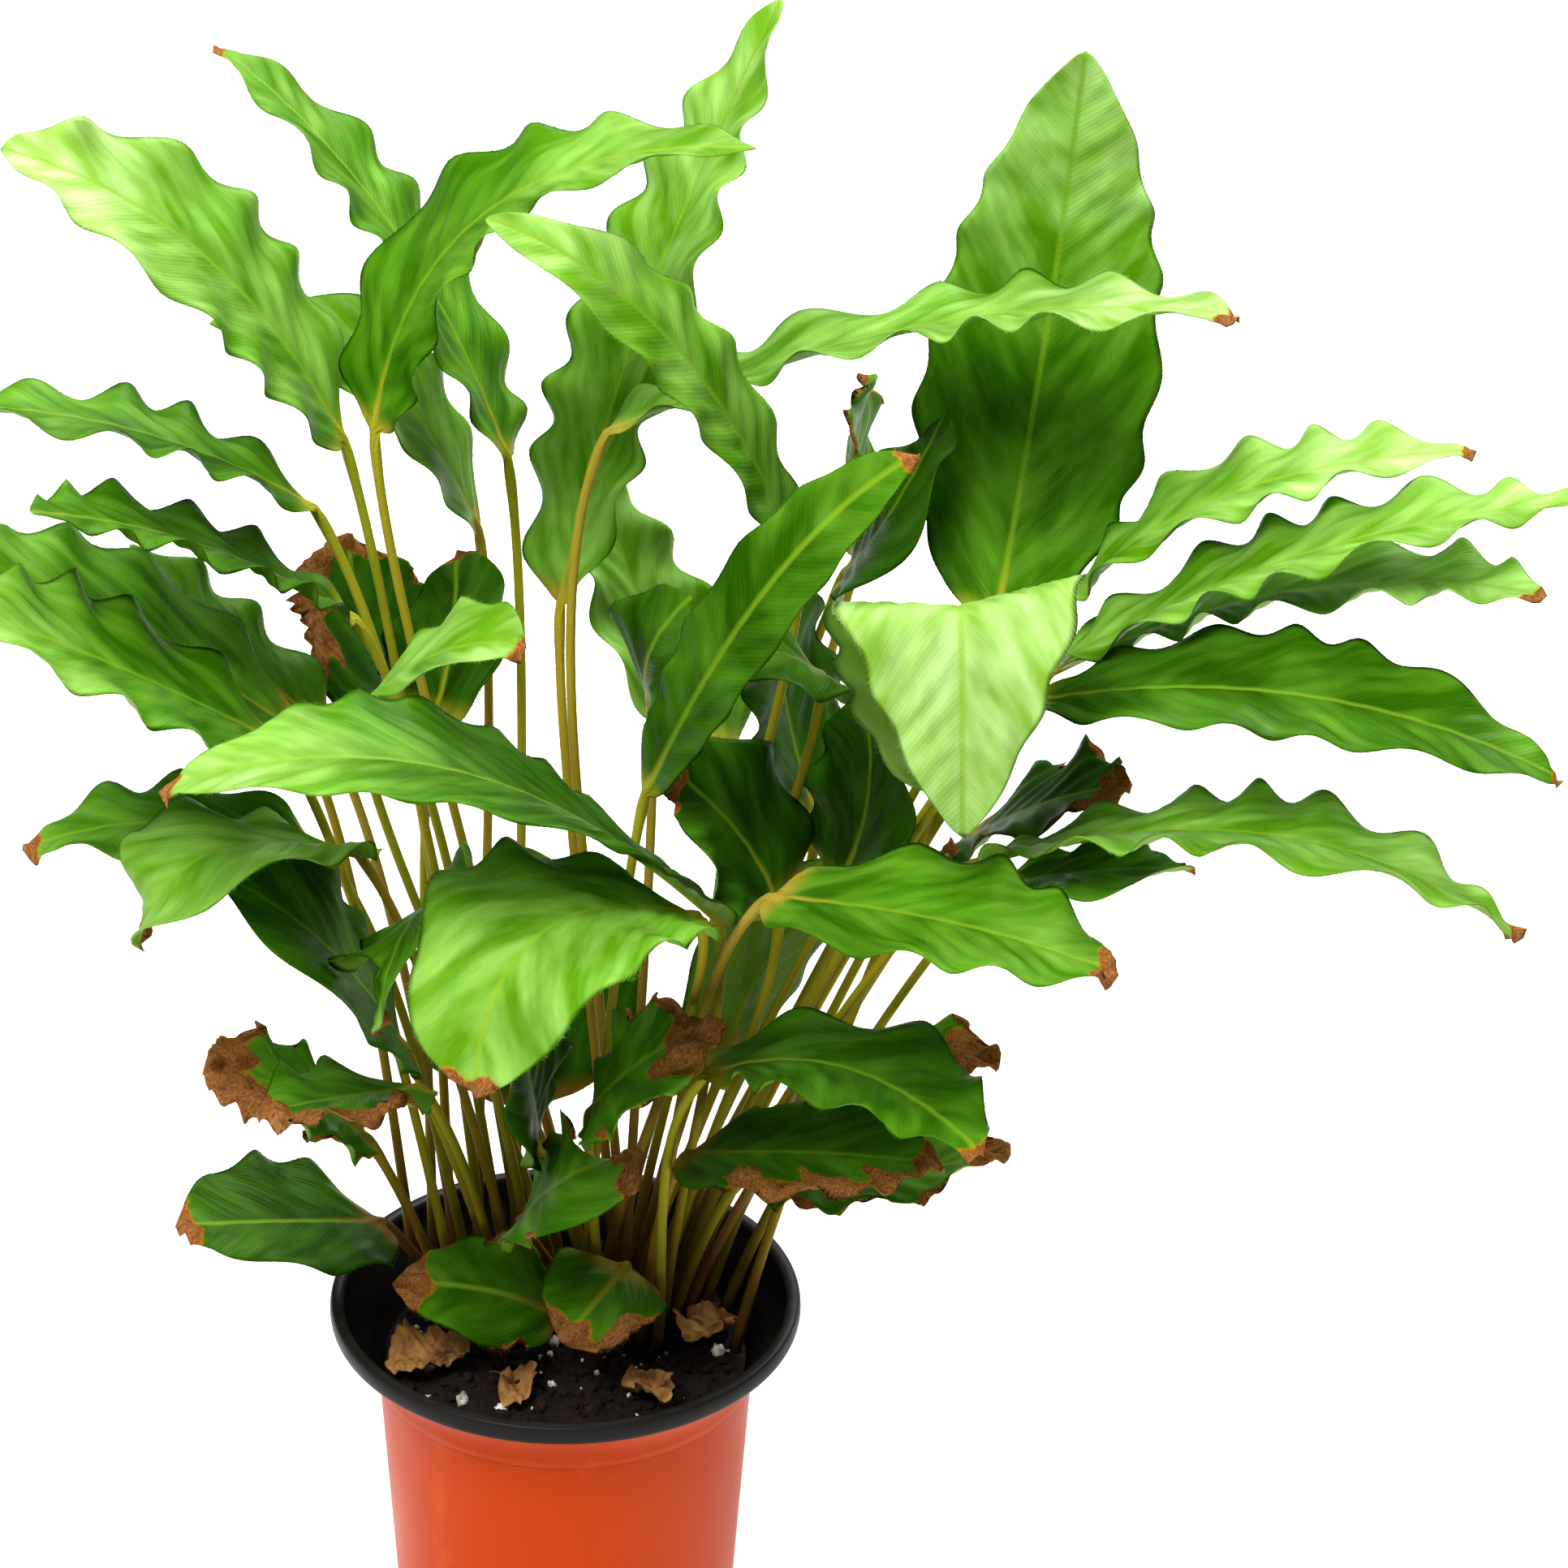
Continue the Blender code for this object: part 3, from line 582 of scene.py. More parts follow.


# Each blade's place on the colour scale is partly its age and partly painted light and shade:
# SHADED blades are painted shade, and the number after the wave is painted light towards the tip.
LEAVES: tuple[Leaf, ...] = (
    Leaf("leaf_left_high_1", (-19, 21),
         (-50, 35, 289), (-78, 22, 337), (-117, 10, 364), 48, (-15, 40), 0,
         AgeLightAndShade.YOUNG, Wear.NONE, 0.8, 0.2),
    Leaf("leaf_left_high_2", (-2, 26),
         (-42, 20, 298), (-17, 11, 352), (39, -14, 377), 38, (-163, 45), -65,
         AgeLightAndShade.GROWN, Wear.NONE, 0.8, 0.25),
    Leaf("leaf_back_left_1", (-13, 28),
         (-16, 62, 273), (-44, 87, 319), (-83, 98, 356), 40, (-5, 40), 0,
         AgeLightAndShade.GROWN, Wear.SPECK, 0.8),
    Leaf("leaf_back_left_2", (-22, 25),
         (-23, 67, 253), (-48, 66, 294), (-83, 72, 300), 42, (-10, 55), 0,
         AgeLightAndShade.YOUNG, Wear.NONE, 0.5),
    Leaf("leaf_left_mid_1", (-14, 20),
         (-54, 8, 285), (-88, 2, 304), (-128, -6, 313), 38, (30, 70), 0,
         AgeLightAndShade.GROWN, Wear.SPECK),
    Leaf("leaf_left_mid_2", (-10, 25),
         (-45, 0, 263), (-75, -16, 287), (-104, -55, 312), 36, (30, 60), 0,
         AgeLightAndShade.OLD, Wear.NONE),
    Leaf("leaf_left_broad_1", (-35, 17),
         (-58, 4, 233), (-93, -12, 265), (-129, -24, 286), 54, (-10, 65), 0,
         AgeLightAndShade.GROWN, Wear.NONE, 0.7),
    Leaf("leaf_left_broad_2", (-24, 5),
         (-58, -30, 248), (-89, -58, 280), (-119, -74, 301), 48, (10, 50), 0,
         AgeLightAndShade.GROWN, Wear.NONE, 1, 0.3),
    Leaf("leaf_left_broad_3", (-24, 17),
         (-54, 22, 224), (-74, 26, 242), (-97, 30, 265), 36, (0, 50), 0,
         AgeLightAndShade.GROWN, Wear.NONE),
    Leaf("leaf_front_left_tongue", (22, 6),
         (34, -33, 210), (-19, -74, 266), (-77, -84, 265), 50, (10, 80), 0,
         AgeLightAndShade.OLD, Wear.TIP, 0.35, 0.56),
    Leaf("leaf_left_low_1", (-21, 13),
         (-52, -10, 211), (-84, -18, 222), (-115, -24, 218), 34, (15, 85), 0,
         AgeLightAndShade.GROWN, Wear.TIP),
    Leaf("leaf_left_low_2", (-10, 10),
         (-43, -26, 220), (-70, -58, 237), (-85, -68, 220), 44, (135, 85), 0,
         AgeLightAndShade.YOUNG, Wear.TIP),
    Leaf("leaf_left_low_3", (-16, 16),
         (-34, -24, 171), (-50, -47, 211), (-74, -48, 228), 46, (0, 35), 0,
         AgeLightAndShade.OLD, Wear.SPECK, 0.6),
    Leaf("leaf_front_left_small", (-7, 17),
         (-26, -29, 211), (-31, -62, 220), (-36, -67, 201), 38, (-175, 45), 0,
         AgeLightAndShade.GROWN, Wear.TIP),
    Leaf("leaf_front_hanging", (7, 18),
         (30, -58, 225), (-1, -89, 237), (-13, -108, 210), 54, (-125, 85), 0,
         AgeLightAndShade.YOUNG, Wear.TIP, 0.9, 0.05),
    Leaf("leaf_front_inner", (7, 11),
         (-6, -3, 137), (-7, -25, 166), (-12, -31, 190), 32, (-15, 0), 0,
         AgeLightAndShade.SHADED, Wear.NONE),
    Leaf("leaf_front_right_broad", (18, 7),
         (45, -55, 228), (82, -73, 233), (116, -84, 228), 48, (145, 85), 0,
         AgeLightAndShade.GROWN, Wear.TIP, 0.8),
    Leaf("leaf_right_underside", (14, 11),
         (36, 1, 156), (45, 9, 177), (65, 22, 195), 44, (135, 10), 0,
         AgeLightAndShade.OLD, Wear.NONE, 0.2),
    Leaf("leaf_right_low_1", (21, 0),
         (32, -46, 179), (61, -53, 186), (89, -90, 189), 42, (130, 75), 0,
         AgeLightAndShade.OLD, Wear.SPECK),
    Leaf("leaf_right_low_2", (17, 2),
         (28, -22, 144), (55, -38, 155), (84, -48, 159), 42, (170, 80), 0,
         AgeLightAndShade.OLD, Wear.RIGHT_EDGE, 0.4),
    Leaf("leaf_right_low_3", (24, 10),
         (43, -7, 131), (72, -21, 139), (99, -26, 151), 36, (160, 70), 0,
         AgeLightAndShade.GROWN, Wear.END),
    Leaf("leaf_right_low_4", (27, 13),
         (66, -6, 163), (81, -20, 170), (96, -26, 174), 30, (150, 75), 0,
         AgeLightAndShade.GROWN, Wear.HALF),
    Leaf("leaf_right_drooping", (39, 0),
         (82, 5, 225), (82, -47, 292), (84, -64, 248), 52, (-95, 60), 0,
         AgeLightAndShade.FRESH_AND_LIT, Wear.NONE, 0.3, 0),
    Leaf("leaf_right_upright", (24, 24),
         (93, 30, 251), (103, 68, 302), (108, 54, 375), 52, (-95, 7), 0,
         AgeLightAndShade.GROWN, Wear.NONE, 0.3, 0.46),
    Leaf("leaf_right_high_1", (13, 16),
         (8, 15, 301), (74, 32, 320), (140, 6, 335), 40, (150, 70), 0,
         AgeLightAndShade.YOUNG, Wear.TIP, 1, 0.2),
    Leaf("leaf_centre_high", (13, 25),
         (50, 9, 273), (23, -19, 336), (-15, -25, 365), 25, (-30, 30), 0,
         AgeLightAndShade.YOUNG, Wear.NONE, 0.6),
    Leaf("leaf_centre_diagonal", (3, 4),
         (18, -22, 234), (44, -46, 296), (73, -47, 326), 21, (-120, 30), 0,
         AgeLightAndShade.OLD, Wear.TIP, 0.35),
    Leaf("leaf_centre_small_1", (15, 21),
         (55, 0, 252), (43, -19, 267), (30, -27, 267), 36, (5, 60), 0,
         AgeLightAndShade.GROWN, Wear.SPECK),
    Leaf("leaf_centre_dark", (20, 12),
         (47, -15, 202), (38, -14, 220), (23, -22, 240), 46, (-20, 20), 0,
         AgeLightAndShade.SHADED, Wear.TIP),
    Leaf("leaf_back_right_small_1", (16, 35),
         (63, 85, 241), (61, 67, 278), (59, 25, 277), 30, (-10, -5), 0,
         AgeLightAndShade.GROWN, Wear.END),
    Leaf("leaf_back_right_small_2", (9, 26),
         (60, 58, 249), (70, 40, 273), (81, 55, 289), 34, (-160, 40), 0,
         AgeLightAndShade.SHADED, Wear.NONE),
    Leaf("leaf_back_centre", (19, 24),
         (33, 32, 218), (17, 52, 236), (3, 72, 268), 44, (-25, 40), 0,
         AgeLightAndShade.YOUNG, Wear.NONE),
    Leaf("leaf_back_high", (11, 20),
         (-3, 36, 250), (14, 62, 308), (43, 92, 372), 46, (-155, 30), 0,
         AgeLightAndShade.YOUNG, Wear.NONE),
    Leaf("leaf_right_far_1", (21, 29),
         (108, 36, 251), (139, 21, 286), (192, 7, 305), 38, (170, 60), 0,
         AgeLightAndShade.YOUNG, Wear.SPECK, 1, 0.18),
    Leaf("leaf_right_far_2", (31, 15),
         (103, 5, 252), (154, -11, 288), (212, -25, 309), 40, (155, 80), 0,
         AgeLightAndShade.YOUNG, Wear.SPECK),
    Leaf("leaf_right_far_3", (27, 28),
         (105, 14, 247), (156, 2, 274), (202, -40, 294), 38, (150, 70), 0,
         AgeLightAndShade.YOUNG, Wear.TIP),
    Leaf("leaf_right_far_4", (23, 15),
         (99, -18, 256), (153, -44, 272), (207, -54, 259), 42, (85, 95), 0,
         AgeLightAndShade.OLD, Wear.SPECK, 0.6),
    Leaf("leaf_right_mid_1", (31, 21),
         (89, 26, 199), (104, 0, 222), (122, -13, 234), 36, (170, 55), 0,
         AgeLightAndShade.SHADED, Wear.END),
    Leaf("leaf_right_far_5", (26, 19),
         (88, -24, 220), (146, -60, 248), (199, -72, 232), 42, (95, 80), 0,
         AgeLightAndShade.YOUNG, Wear.TIP),
    Leaf("leaf_right_mid_2", (36, 15),
         (93, -11, 208), (114, -37, 226), (134, -39, 228), 34, (150, 70), 0,
         AgeLightAndShade.GROWN, Wear.SPECK),
    Leaf("leaf_left_brown_1", (-27, 10),
         (-44, -10, 139), (-61, -30, 164), (-76, -40, 173), 34, (5, 45), 0,
         AgeLightAndShade.GROWN, Wear.HALF),
    Leaf("leaf_left_brown_2", (-14, 12),
         (-31, -24, 161), (-48, -48, 172), (-63, -58, 174), 30, (55, 70), 0,
         AgeLightAndShade.GROWN, Wear.LEFT_EDGE),
    Leaf("leaf_left_over_rim", (-28, 15),
         (-43, 8, 105), (-63, -10, 116), (-86, -22, 122), 42, (0, 70), 0,
         AgeLightAndShade.SHADED, Wear.TIP, 0.6),
    Leaf("leaf_in_pot_round", (-8, 5),
         (-2, -5, 89), (-17, -12, 100), (-39, -10, 100), 28, (-60, 50), 0,
         AgeLightAndShade.OLD, Wear.END, 0.4),
    Leaf("leaf_in_pot_pointed", (9, -2),
         (14, -8, 105), (8, -18, 102), (0, -25, 95), 30, (-90, 65), 0,
         AgeLightAndShade.OLD, Wear.LEFT_EDGE, 0.8),
    Leaf("leaf_base_crumpled_1", (3, 12),
         (-11, 5, 108), (2, -33, 144), (16, -18, 141), 30, (-135, 50), 0,
         AgeLightAndShade.GROWN, Wear.HALF),
    Leaf("leaf_base_crumpled_2", (8, 4),
         (6, -17, 151), (19, -45, 182), (36, -45, 192), 32, (-165, 30), 0,
         AgeLightAndShade.GROWN, Wear.HALF),
    Leaf("leaf_left_pale", (-2, 18),
         (-43, -16, 249), (-25, -34, 272), (-6, -44, 279), 34, (165, 45), 0,
         AgeLightAndShade.YOUNG, Wear.SPECK, 0.6),
    Leaf("leaf_back_left_3", (-27, 20),
         (-40, 63, 208), (-49, 66, 227), (-54, 79, 246), 48, (-20, 65), 0,
         AgeLightAndShade.SHADED, Wear.LEFT_EDGE, 0.7),
    Leaf("leaf_back_left_4", (-32, 20),
         (-32, 40, 218), (-28, 50, 233), (-28, 67, 248), 42, (-155, 45), 0,
         AgeLightAndShade.SHADED, Wear.SPECK, 0.6),
    Leaf("leaf_centre_small_2", (13, 7),
         (18, 12, 238), (18, 3, 255), (27, -2, 271), 28, (-150, 15), 0,
         AgeLightAndShade.SHADED, Wear.NONE),
    Leaf("leaf_centre_back_1", (21, 19),
         (55, 31, 200), (47, 40, 226), (42, 38, 264), 44, (-25, 20), 0,
         AgeLightAndShade.SHADED, Wear.NONE),
    Leaf("leaf_centre_back_2", (18, 16),
         (59, 4, 196), (66, 4, 221), (64, 10, 244), 42, (-150, 10), 0,
         AgeLightAndShade.SHADED, Wear.NONE),
    Leaf("leaf_back_low", (2, 38),
         (-8, 50, 112), (-12, 60, 140), (-14, 74, 168), 54, (-90, 25), 0,
         AgeLightAndShade.SHADED, Wear.NONE, 0.8),
)


@dataclass
class LeafBuilder:
    """Turns a leaf's few sizes into one fine closed surface with its drying and its fuzz."""

    soil_top: float = 77.3
    stalk_radius: float = 1.05
    thickness: float = 0.45
    base_power: float = 0.5
    tip_power: float = 0.7
    fold: float = 0.13
    wave_height: float = 2.3
    wave_length: float = 19.0
    stalk_rings: int = 34
    ring_step: float = 1.3
    half_points: int = 15
    hair_length: float = 1.1
    hair_step: float = 0.55
    hair_half_width: float = 0.045
    # Painted shade at the blade's base and painted light towards its tip, as shifts on the colour
    # scale.
    painted_base_shade: float = 0.15
    tip_light_strength: float = 1.4

    def blade_line(self, leaf: Leaf, u: Grid) -> Grid:
        """Midrib points: the parabola through start (0), middle (0.5) and tip (1)."""
        start, middle, tip = (np.array(p, float) for p in (leaf.start, leaf.middle, leaf.tip))
        pull = 2.0 * middle - (start + tip) / 2.0
        u = u[:, None]
        return (1 - u) ** 2 * start + 2 * u * (1 - u) * pull + u ** 2 * tip

    def stalk_line(self, leaf: Leaf, u: Grid) -> Grid:
        """Stalk points: a cubic Bezier that leaves the soil steeply and bends to the blade.

        Args:
            leaf: the leaf's sizes.
            u: places along the stalk, from 0 at the soil to 1 at the blade.

        Returns:
            One point per place.
        """
        foot = np.array([*leaf.foot, self.soil_top])
        start = np.array(leaf.start, float)
        reach = start - foot
        length = np.linalg.norm(reach)
        ends = self.blade_line(leaf, np.array([0.0, 0.08]))
        rise = unit(reach / length + np.array([0.0, 0.0, 0.5]))
        bend = unit(reach / length + 0.7 * unit(ends[1] - ends[0]))
        knee = foot + rise * 0.35 * length
        neck = start - bend * 0.2 * length
        u = u[:, None]
        return ((1 - u) ** 3 * foot + 3 * u * (1 - u) ** 2 * knee
                + 3 * u ** 2 * (1 - u) * neck + u ** 3 * start)

    def half_width(self, leaf: Leaf, u: Grid) -> Grid:
        """Half width: u ** base_power * (1 - u) ** tip_power, scaled to the leaf's width."""
        widest = self.base_power / (self.base_power + self.tip_power)
        peak = widest ** self.base_power * (1.0 - widest) ** self.tip_power
        return leaf.width / 2.0 * u ** self.base_power * (1.0 - u) ** self.tip_power / peak

    def surface(self, leaf: Leaf, number: int) -> tuple[Grid, dict[str, Grid]]:
        """Rings of points from the foot to just before the tip, and what each point is.

        Each ring runs along the upper face from edge to edge and back along the lower
        face. Across the blade, the height is the V fold, the edge waves (a sine along the
        blade that grows towards the edges), low swells along the side veins, half the
        thickness, and the round midrib below. On the stalk the ring is a circle.

        Args:
            leaf: the leaf's sizes.
            number: the leaf's own number, which seeds its small differences.

        Returns:
            Points as (rings, spokes, 3), and per-point attribute arrays.
        """
        random = np.random.default_rng(400 + number)
        length = math.dist(leaf.start, leaf.middle) + math.dist(leaf.middle, leaf.tip)
        blade_rings = int(length / self.ring_step) + 24
        v = np.linspace(0.0, 1.0, self.stalk_rings, endpoint=False) ** 0.85
        u = np.linspace(0.0, 1.0, blade_rings + 1)[:-1] + 0.15 / blade_rings
        line = np.vstack([self.stalk_line(leaf, v), self.blade_line(leaf, u)])
        steps = np.linalg.norm(np.diff(line, axis=0), axis=1)
        along = np.concatenate([[0.0], np.cumsum(steps)])
        stalk_length = along[self.stalk_rings]
        on_blade = np.concatenate([np.zeros(self.stalk_rings), u])
        is_blade = np.arange(len(line)) >= self.stalk_rings
        past = np.maximum(along - stalk_length, 0.0)

        tangent = unit(np.gradient(line, axis=0))
        facing = direction(*leaf.facing)
        turn = np.radians(leaf.twist) * (on_blade - 0.5)
        side = turned(unit(np.cross(facing, tangent)), tangent, turn)
        first = side[self.stalk_rings]
        carried = unit(first - tangent * (tangent @ first)[:, None])
        side = np.where(is_blade[:, None], side, carried)
        face = np.cross(tangent, side)

        radius = np.where(is_blade, np.interp(on_blade, (0, 0.4, 1), (1.05, 0.8, 0.16)),
                          self.stalk_radius + 0.45 * np.exp(-along / 22.0))
        pulvinus = 0.22 * np.exp(-((along - stalk_length + 5.0) / 5.0) ** 2)
        radius = radius + np.where(is_blade, 0.0, pulvinus)
        blade_half = np.where(is_blade, self.half_width(leaf, np.clip(on_blade, 0, 1)), 0.0)

        # Points across: closer together near the midrib.
        spread = np.linspace(-1.0, 1.0, 2 * self.half_points + 1)
        across = np.sign(spread) * np.abs(spread) ** 1.25
        share = np.concatenate([across[::-1], across[1:-1]])
        layer = np.concatenate([np.ones(len(across)), -np.ones(len(across) - 2)])
        phi = share[None, :]
        away = np.abs(phi)

        # Edges in and out: each side has its own slow scallop, and dry edges are torn back.
        phase = random.uniform(0.0, 2.0 * math.pi, 6)
        waves = 2.0 * math.pi * past[:, None] / (self.wave_length * random.uniform(0.9, 1.12))
        drift = 0.9 * np.sin(waves * 0.31 + phase[4])
        left = phi > 0
        ruffle_phase = np.where(left, phase[0], phase[0] + 1.1 + 0.6 * phase[1] / math.pi)
        ruffle = np.sin(waves + drift + ruffle_phase) + 0.2 * np.sin(0.43 * waves + phase[2])
        scallop = 1.0 + 0.045 * away ** 3 * np.sin(waves + drift + ruffle_phase + 1.3)
        half = np.sqrt(radius ** 2 + blade_half ** 2)[:, None]

        tip_reach, left_share, right_share = leaf.wear.value
        share_dry = np.where(left, left_share, right_share)
        from_tip = (along[-1] - along)[:, None]
        flat = np.stack([np.broadcast_to(along[:, None], (len(along), phi.shape[1])) * 0.5,
                         half * phi], axis=-1)
        rough = roughness_field(flat, 5.0, 900 + number)
        fine = roughness_field(flat, 2.0, 1900 + number)
        tip_dry = ease(tip_reach * (1.0 + 0.2 * rough) - from_tip, -2.5, 2.0 + 0.3 * tip_reach)
        tip_dry = tip_dry if tip_reach else 0.0 * rough
        edge_line = 1.0 - share_dry * 1.6 * ease(on_blade, 0.15, 0.6)[:, None]
        edge_dry = ease(away + 0.10 * rough, edge_line, edge_line + 0.16) * (share_dry > 0)
        dry = np.clip(np.maximum(tip_dry, edge_dry), 0, 1) * is_blade[:, None]
        shrink = 1.0 - 0.10 * dry * away * (1.0 + 0.7 * fine)

        x = phi * half * np.where(is_blade[:, None], scallop * shrink, 1.0)
        grow = np.minimum(1.0, blade_half / 12.0)[:, None]
        ripple = self.wave_height * leaf.wave * grow * ruffle * away ** 2.1
        vein = past[:, None] - 0.95 * np.abs(x) - 0.018 * x ** 2
        swell = 0.32 * grow * np.sin(2.0 * math.pi * vein / 8.2 + phase[3]) * np.sin(
            math.pi * np.minimum(away, 1.0)) ** 0.7
        crumple = dry * (0.9 * rough + 0.5 * fine) * 1.1
        curl = -1.6 * dry * away ** 2
        lift = self.fold * np.abs(x) * np.minimum(1.0, past / 8.0)[:, None]
        lift = lift + ripple + swell + crumple + curl
        lift = lift * is_blade[:, None]

        # Thickness: a round stalk that flattens into a thin blade with a rib beneath.
        flatness = ease(past, 0.0, 7.0)[:, None]
        skin = 0.5 * self.thickness * np.sqrt(np.clip(1.0 - away ** 8, 0.0, 1.0))
        rib_reach = np.maximum(radius[:, None], 1e-6)
        rib = rib_reach * np.sqrt(np.clip(1.0 - (x / rib_reach) ** 2, 0.0, 1.0))
        upper = skin * flatness + rib * (1.0 - 1.22 * flatness)
        lower = skin * flatness + rib * (1.0 - 0.12 * flatness)
        height = lift + np.where(layer[None, :] > 0, upper, -lower)

        points = (line[:, None, :] + side[:, None, :] * x[..., None]
                  + face[:, None, :] * height[..., None])
        count = points.shape[:2]
        stalk = 1.0 - ease(past, 1.0, 7.0)[:, None] * ease(np.abs(x), 0.2, 1.4)
        stalk = np.where(is_blade[:, None], stalk * (1.0 - ease(past, 2.0, 22.0))[:, None], 1.0)
        place = np.stack([np.broadcast_to(along[:, None], count), np.abs(x),
                          np.broadcast_to(phi, count) * np.maximum(half, 2.0)], axis=-1)
        under = np.broadcast_to((layer < 0).astype(float)[None, :], count)
        state = np.stack([dry, stalk, under * is_blade[:, None]], axis=-1)
        # Painted light and shade along the blade: darker at the base and lighter towards the tip,
        # as the leaf would look lit from above.
        tip_light = leaf.painted_tip_light * ease(on_blade, 0.35, 0.9)[:, None]
        age = leaf.age.value + self.painted_base_shade * leaf.painted_tip_light - tip_light * self.tip_light_strength
        age = np.broadcast_to(age, count)
        twin = np.full(count, (number * GOLDEN_STEP) % 1.0)
        mood = np.stack([np.clip(age, 0.0, 1.0), twin, np.zeros(count)], axis=-1)
        return points, {"leaf_place": place, "leaf_state": state, "leaf_mood": mood}

    def fuzz(self, points: Grid, values: dict[str, Grid],
             number: int) -> tuple[Grid, dict[str, Grid]]:
        """Short soft hairs: thin three-sided needles along both edges and the rib beneath.

        Args:
            points: the leaf's rings.
            values: the leaf's per-point attributes.
            number: the leaf's own number, which seeds the hairs.

        Returns:
            Needle points as (hairs, 4, 3), tip last, and their attributes.
        """
        random = np.random.default_rng(7000 + number)
        rings, spokes = points.shape[:2]
        edge = 2 * self.half_points
        blade = np.nonzero(values["leaf_state"][:, edge // 2, 2] >= 0)[0][self.stalk_rings:-4]
        per_side = int((rings - self.stalk_rings) * self.ring_step / self.hair_step)
        ring = random.choice(blade, size=(3, per_side))
        stalk_ring = random.integers(2, self.stalk_rings, size=per_side // 2)
        spot = np.concatenate([ring[0], ring[1], ring[2], stalk_ring])
        rib = edge + self.half_points
        spoke = np.concatenate([np.zeros(per_side, int), np.full(per_side, edge),
                                random.integers(rib - 6, rib + 7, per_side),
                                random.integers(0, spokes, per_side // 2)])
        mix = random.random(len(spot))[:, None]
        beyond = points[np.minimum(spot + 1, rings - 1), spoke]
        root = points[spot, spoke] * (1 - mix) + beyond * mix
        centre = points.mean(axis=1)[spot]
        out = unit(root - centre + 1e-6)
        ahead = unit(beyond - points[spot, spoke])
        lean = unit(out + 0.35 * ahead + 0.45 * random.normal(size=out.shape))
        tall = self.hair_length * random.uniform(0.5, 1.25, size=(len(spot), 1))
        across = unit(np.cross(lean, ahead + 0.01))
        third = np.cross(lean, across)
        wide = self.hair_half_width
        corners = [across * wide, (-0.5 * across + 0.866 * third) * wide,
                   (-0.5 * across - 0.866 * third) * wide]
        needle = np.stack([root + c for c in corners] + [root + lean * tall], axis=1)
        picked = {key: np.repeat(grid[spot, spoke][:, None, :], 4, axis=1)
                  for key, grid in values.items()}
        return needle, picked

    def build(self, leaf: Leaf, number: int, tissue: bpy.types.Material) -> bpy.types.Object:
        """Make one leaf's object and settle it in place of its plain solid.

        Args:
            leaf: the leaf's sizes.
            number: the leaf's own number.
            tissue: the living leaf material.

        Returns:
            The finished piece.
        """
        points, values = self.surface(leaf, number)
        rings, spokes = points.shape[:2]
        needle, hair_values = self.fuzz(points, values, number)
        skin = points.reshape(-1, 3)
        poles = np.array([points[0].mean(axis=0), leaf.tip])
        first_hair = len(skin) + 2
        vertices = np.vstack([skin, poles, needle.reshape(-1, 3)])
        base = first_hair + 4 * np.arange(len(needle))[:, None]
        hairs = np.concatenate([base + np.array(corner) for corner in (
            (0, 1, 3), (1, 2, 3), (2, 0, 3), (0, 2, 1))])
        faces = [ring_faces(rings, spokes),
                 fan_faces(0, spokes, len(skin), outward=False),
                 fan_faces((rings - 1) * spokes, spokes, len(skin) + 1, outward=True), hairs]
        attributes = {}
        for key, grid in values.items():
            ends = np.stack([grid[0, 0], grid[-1, spokes // 4]])
            attributes[key] = np.vstack([grid.reshape(-1, 3), ends,
                                         hair_values[key].reshape(-1, 3)])
        piece = make_piece(leaf.name + "_fine", vertices, faces, tissue, attributes)
        return settle(piece, leaf.name)


# ---------------------------------------------------------------- dead leaves


@dataclass(frozen=True)
class DeadLeaf:
    """A dry, curled scrap on the soil: place, length, width, heading, curl and tilt."""

    name: str
    place: tuple[float, float, float]
    length: float
    width: float
    heading: float
    curl: float
    tilt: float = 0.0


DEAD_LEAVES: tuple[DeadLeaf, ...] = (
    DeadLeaf("dead_leaf_front_left", (-31.0, -11.0, 81.5), 21.0, 16.0, 20.0, 3.0, 14.0),
    DeadLeaf("dead_leaf_front", (-10.0, -21.0, 80.0), 17.0, 9.0, 80.0, 2.2),
    DeadLeaf("dead_leaf_front_right", (20.0, -21.0, 80.5), 18.0, 10.0, 115.0, 2.6),
    DeadLeaf("dead_leaf_right", (32.0, 2.0, 82.0), 18.0, 14.0, 70.0, 3.0),
)


